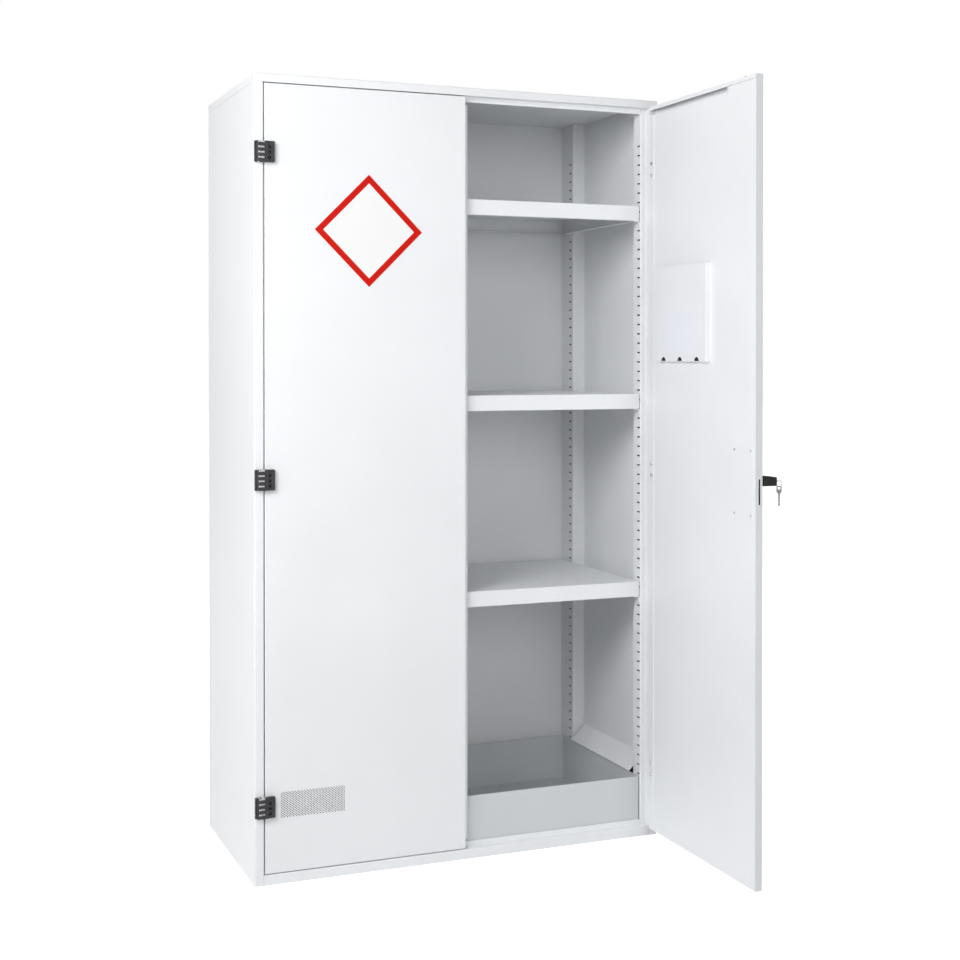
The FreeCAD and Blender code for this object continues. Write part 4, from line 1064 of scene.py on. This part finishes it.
class CABINET_OT_keys(bpy.types.Operator):
    """Finish both keys and wind the split ring that joins them"""

    bl_idname = "cabinet.keys"
    bl_label = "Keys"

    def execute(self, context):
        sizes = context.scene.cabinet_sizes
        for node in ("key_in_lock", "spare_key"):
            eased_copy(node, "nickel plate on brass", sizes.small_easing)
        low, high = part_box("key_ring")
        middle = (low + high) / 2
        wire = (high.y - low.y) / 2
        radius = (high.z - low.z) / 2 - wire
        turns = sizes.ring_turns
        shape = bmesh.new()
        made = bmesh.ops.create_circle(shape, segments=WIRE_SIDES, radius=wire)
        flat = Matrix.Diagonal((1, 1 / turns, 1, 1))
        start = Matrix.Translation(middle + Vector((-radius, wire / turns - wire, 0)))
        bmesh.ops.transform(shape, matrix=start @ flat, verts=made["verts"])
        steps = WIRE_STEPS * turns
        rise = Vector((0, 2 * wire / turns * (turns - 1) / steps, 0))
        wound = bmesh.ops.spin(shape, geom=shape.verts[:] + shape.edges[:], cent=middle,
                               axis=Vector((0, 1, 0)), dvec=rise, angle=FULL_TURN * turns,
                               steps=steps, use_merge=False, use_duplicate=False)
        if not wound["geom_last"]:
            raise RuntimeError("The key ring couldn't be wound.")
        open_ends = [edge for edge in shape.edges if edge.is_boundary]
        bmesh.ops.holes_fill(shape, edges=open_ends)
        bmesh.ops.recalc_face_normals(shape, faces=shape.faces)
        piece = new_piece("split_ring", shape, "spring wire", "spare_key")
        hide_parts("key_ring")
        return {"FINISHED"}


class CABINET_OT_sign(bpy.types.Operator):
    """Print the plain border on the diamond plate"""

    bl_idname = "cabinet.sign"
    bl_label = "Sign Plate"

    def execute(self, context):
        eased_copy("sign_plate", "sign print", context.scene.cabinet_sizes.small_easing)
        return {"FINISHED"}


class CABINET_OT_pocket_dressing(bpy.types.Operator):
    """Add the black foam strip in the document pocket, painted shade seen through its notches, and
    the blank label on its front
    """

    bl_idname = "cabinet.pocket_dressing"
    bl_label = "Pocket Dressing"

    def execute(self, context):
        sizes = context.scene.cabinet_sizes
        low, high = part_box("document_pocket")
        inset = sizes.pocket_wall + sizes.foam_gap
        shape = bmesh.new()
        size = Vector((sizes.foam_depth, high.y - low.y - 2 * inset, sizes.foam_height))
        middle = Vector((low.x + inset + size.x / 2, (low.y + high.y) / 2,
                         low.z + inset + size.z / 2))
        add_block(shape, middle, size)
        ease_edges(shape, sizes.moulding_easing)
        # The black foam strip is painted shade in the pocket's foot.
        new_piece("pocket_foam", shape, "foam rubber", "right_door")

        shape = bmesh.new()
        size = Vector((sizes.label_thickness, sizes.label_width, sizes.label_height))
        middle = Vector((low.x - size.x / 2, (low.y + high.y) / 2,
                         low.z + sizes.label_rise + size.z / 2))
        add_block(shape, middle, size)
        corners = [edge for edge in shape.edges
                   if abs(edge.verts[0].co.x - edge.verts[1].co.x) > size.x / 2]
        bmesh.ops.bevel(shape, geom=corners, offset=sizes.label_corner, offset_type="OFFSET",
                        segments=CORNER_STEPS, profile=0.5, affect="EDGES", clamp_overlap=True,
                        material=-1)
        new_piece("pocket_label", shape, "label paper", "right_door")
        return {"FINISHED"}


class CABINET_OT_spot_welds(bpy.types.Operator):
    """Set the spot welds along the rear flanges of the sides"""

    bl_idname = "cabinet.spot_welds"
    bl_label = "Spot Welds"

    def execute(self, context):
        sizes = context.scene.cabinet_sizes
        low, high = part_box("side_panel_left")
        count = int((high.z - low.z) / sizes.weld_pitch)
        first = (high.z - low.z - (count - 1) * sizes.weld_pitch) / 2
        for side, edge, way in (("left", low.x, 1), ("right", -low.x, -1)):
            shape = bmesh.new()
            for index in range(count):
                bump = bmesh.ops.create_uvsphere(shape, u_segments=WELD_SIDES, v_segments=WELD_RINGS,
                                                 radius=1)
                place = Vector((edge + way * sizes.weld_inset, high.y,
                                low.z + first + index * sizes.weld_pitch))
                squash = Matrix.Diagonal((sizes.weld_radius, sizes.weld_height, sizes.weld_radius, 1))
                bmesh.ops.transform(shape, matrix=Matrix.Translation(place) @ squash,
                                    verts=bump["verts"])
            new_piece("spot_welds_" + side, shape, "white powder coat", "cabinet")
        return {"FINISHED"}


def soft_lamp(name, place, target, size, power):
    """A square lamp that looks at a point."""
    light = bpy.data.lights.new(name, "AREA")
    light.shape = "SQUARE"
    light.size = size
    light.energy = power
    lamp = bpy.data.objects.new(name, light)
    lamp.location = place
    lamp.rotation_euler = (Vector(target) - Vector(place)).to_track_quat("-Z", "Y").to_euler()
    bpy.context.scene.collection.objects.link(lamp)


def seen_directly(tree):
    """1 for rays from the camera, off gloss and through glass, and 0 for the light that falls."""
    path = tree.nodes.new("ShaderNodeLightPath").outputs
    seen = calculate(tree, "MAXIMUM", path["Is Camera Ray"], path["Is Glossy Ray"])
    return calculate(tree, "MAXIMUM", seen, path["Is Transmission Ray"])


class CABINET_OT_stage(bpy.types.Operator):
    """Set up the pale floor, the soft lamps, the white surroundings and the camera"""

    bl_idname = "cabinet.stage"
    bl_label = "Stage"

    def execute(self, context):
        studio = context.scene.cabinet_studio
        shape = bmesh.new()
        bmesh.ops.create_grid(shape, x_segments=4, y_segments=4, size=studio.floor_size / 2)
        mesh = bpy.data.meshes.new("floor")
        shape.to_mesh(mesh)
        shape.free()
        floor = bpy.data.objects.new("floor", mesh)
        context.scene.collection.objects.link(floor)
        material, tree, shader = new_material("pale floor")
        shader.inputs["Base Color"].default_value = (*studio.floor_colour, 1)
        shader.inputs["Roughness"].default_value = studio.floor_roughness
        shader.inputs["Specular IOR Level"].default_value = studio.floor_shine
        shader.inputs["Emission Color"].default_value = (1, 1, 1, 1)
        distance = tree.nodes.new("ShaderNodeVectorMath")
        distance.operation = "LENGTH"
        tree.links.new(own_place(tree), distance.inputs[0])
        whiteness = spread(tree, distance.outputs["Value"], studio.floor_fade, (studio.floor_glow, 1))
        glow = calculate(tree, "MULTIPLY", seen_directly(tree), whiteness)
        tree.links.new(glow, shader.inputs["Emission Strength"])
        mesh.materials.append(material)

        world = bpy.data.worlds.new("studio")
        world.use_nodes = True
        context.scene.world = world
        tree = world.node_tree
        backdrop = next(node for node in tree.nodes if node.type == "BACKGROUND")
        colour = mixed(tree, seen_directly(tree), tuple(studio.sky), (1, 1, 1))
        tree.links.new(colour, backdrop.inputs["Color"])

        for name, size in (("key", studio.key_size), ("front", studio.wide_size),
                           ("side", studio.wide_size), ("back", studio.wide_size)):
            soft_lamp(name + " lamp", getattr(studio, name + "_place"), studio.lamp_target, size,
                      getattr(studio, name + "_power"))

        camera = bpy.data.cameras.new("camera")
        camera.lens = studio.camera_lens
        camera.shift_y = studio.camera_shift
        holder = bpy.data.objects.new("camera", camera)
        holder.location = studio.camera_place
        holder.rotation_euler = studio.camera_turn
        context.scene.collection.objects.link(holder)
        context.scene.camera = holder
        context.scene.view_settings.view_transform = "Standard"
        return {"FINISHED"}


class CABINET_PT_builder(bpy.types.Panel):
    """Lists the steps that dress the cabinet and the values that they use"""

    bl_idname = "CABINET_PT_builder"
    bl_label = "Storage Cabinet"
    bl_space_type = "VIEW_3D"
    bl_region_type = "UI"
    bl_category = "Cabinet"

    def draw(self, context):
        for step in STEPS:
            self.layout.operator(step.bl_idname)
        for group in (context.scene.cabinet_finish, context.scene.cabinet_sizes,
                      context.scene.cabinet_studio):
            box = self.layout.box()
            for name in group.bl_rna.properties.keys():
                if name not in ("rna_type", "name"):
                    box.prop(group, name)


GROUPS = (CabinetFinish, CabinetSizes, CabinetStudio)
STEPS = (
    CABINET_OT_white_panels, CABINET_OT_folded_sheets, CABINET_OT_hinges,
    CABINET_OT_hinge_sleeves, CABINET_OT_post_liners, CABINET_OT_vent_gauze,
    CABINET_OT_lock_works, CABINET_OT_rod_bushes, CABINET_OT_handle, CABINET_OT_keys,
    CABINET_OT_sign, CABINET_OT_pocket_dressing, CABINET_OT_spot_welds, CABINET_OT_stage,
)


def register():
    for item in (*GROUPS, *STEPS, CABINET_PT_builder):
        bpy.utils.register_class(item)
    bpy.types.Scene.cabinet_finish = PointerProperty(type=CabinetFinish)
    bpy.types.Scene.cabinet_sizes = PointerProperty(type=CabinetSizes)
    bpy.types.Scene.cabinet_studio = PointerProperty(type=CabinetStudio)


def unregister():
    del bpy.types.Scene.cabinet_studio
    del bpy.types.Scene.cabinet_sizes
    del bpy.types.Scene.cabinet_finish
    for item in reversed((*GROUPS, *STEPS, CABINET_PT_builder)):
        bpy.utils.unregister_class(item)


def main():
    register()
    bpy.ops.cabinet.white_panels()
    bpy.ops.cabinet.folded_sheets()
    bpy.ops.cabinet.hinges()
    bpy.ops.cabinet.hinge_sleeves()
    bpy.ops.cabinet.post_liners()
    bpy.ops.cabinet.vent_gauze()
    bpy.ops.cabinet.lock_works()
    bpy.ops.cabinet.rod_bushes()
    bpy.ops.cabinet.handle()
    bpy.ops.cabinet.keys()
    bpy.ops.cabinet.sign()
    bpy.ops.cabinet.pocket_dressing()
    bpy.ops.cabinet.spot_welds()
    bpy.ops.cabinet.stage()


if __name__ == "__main__":
    main()
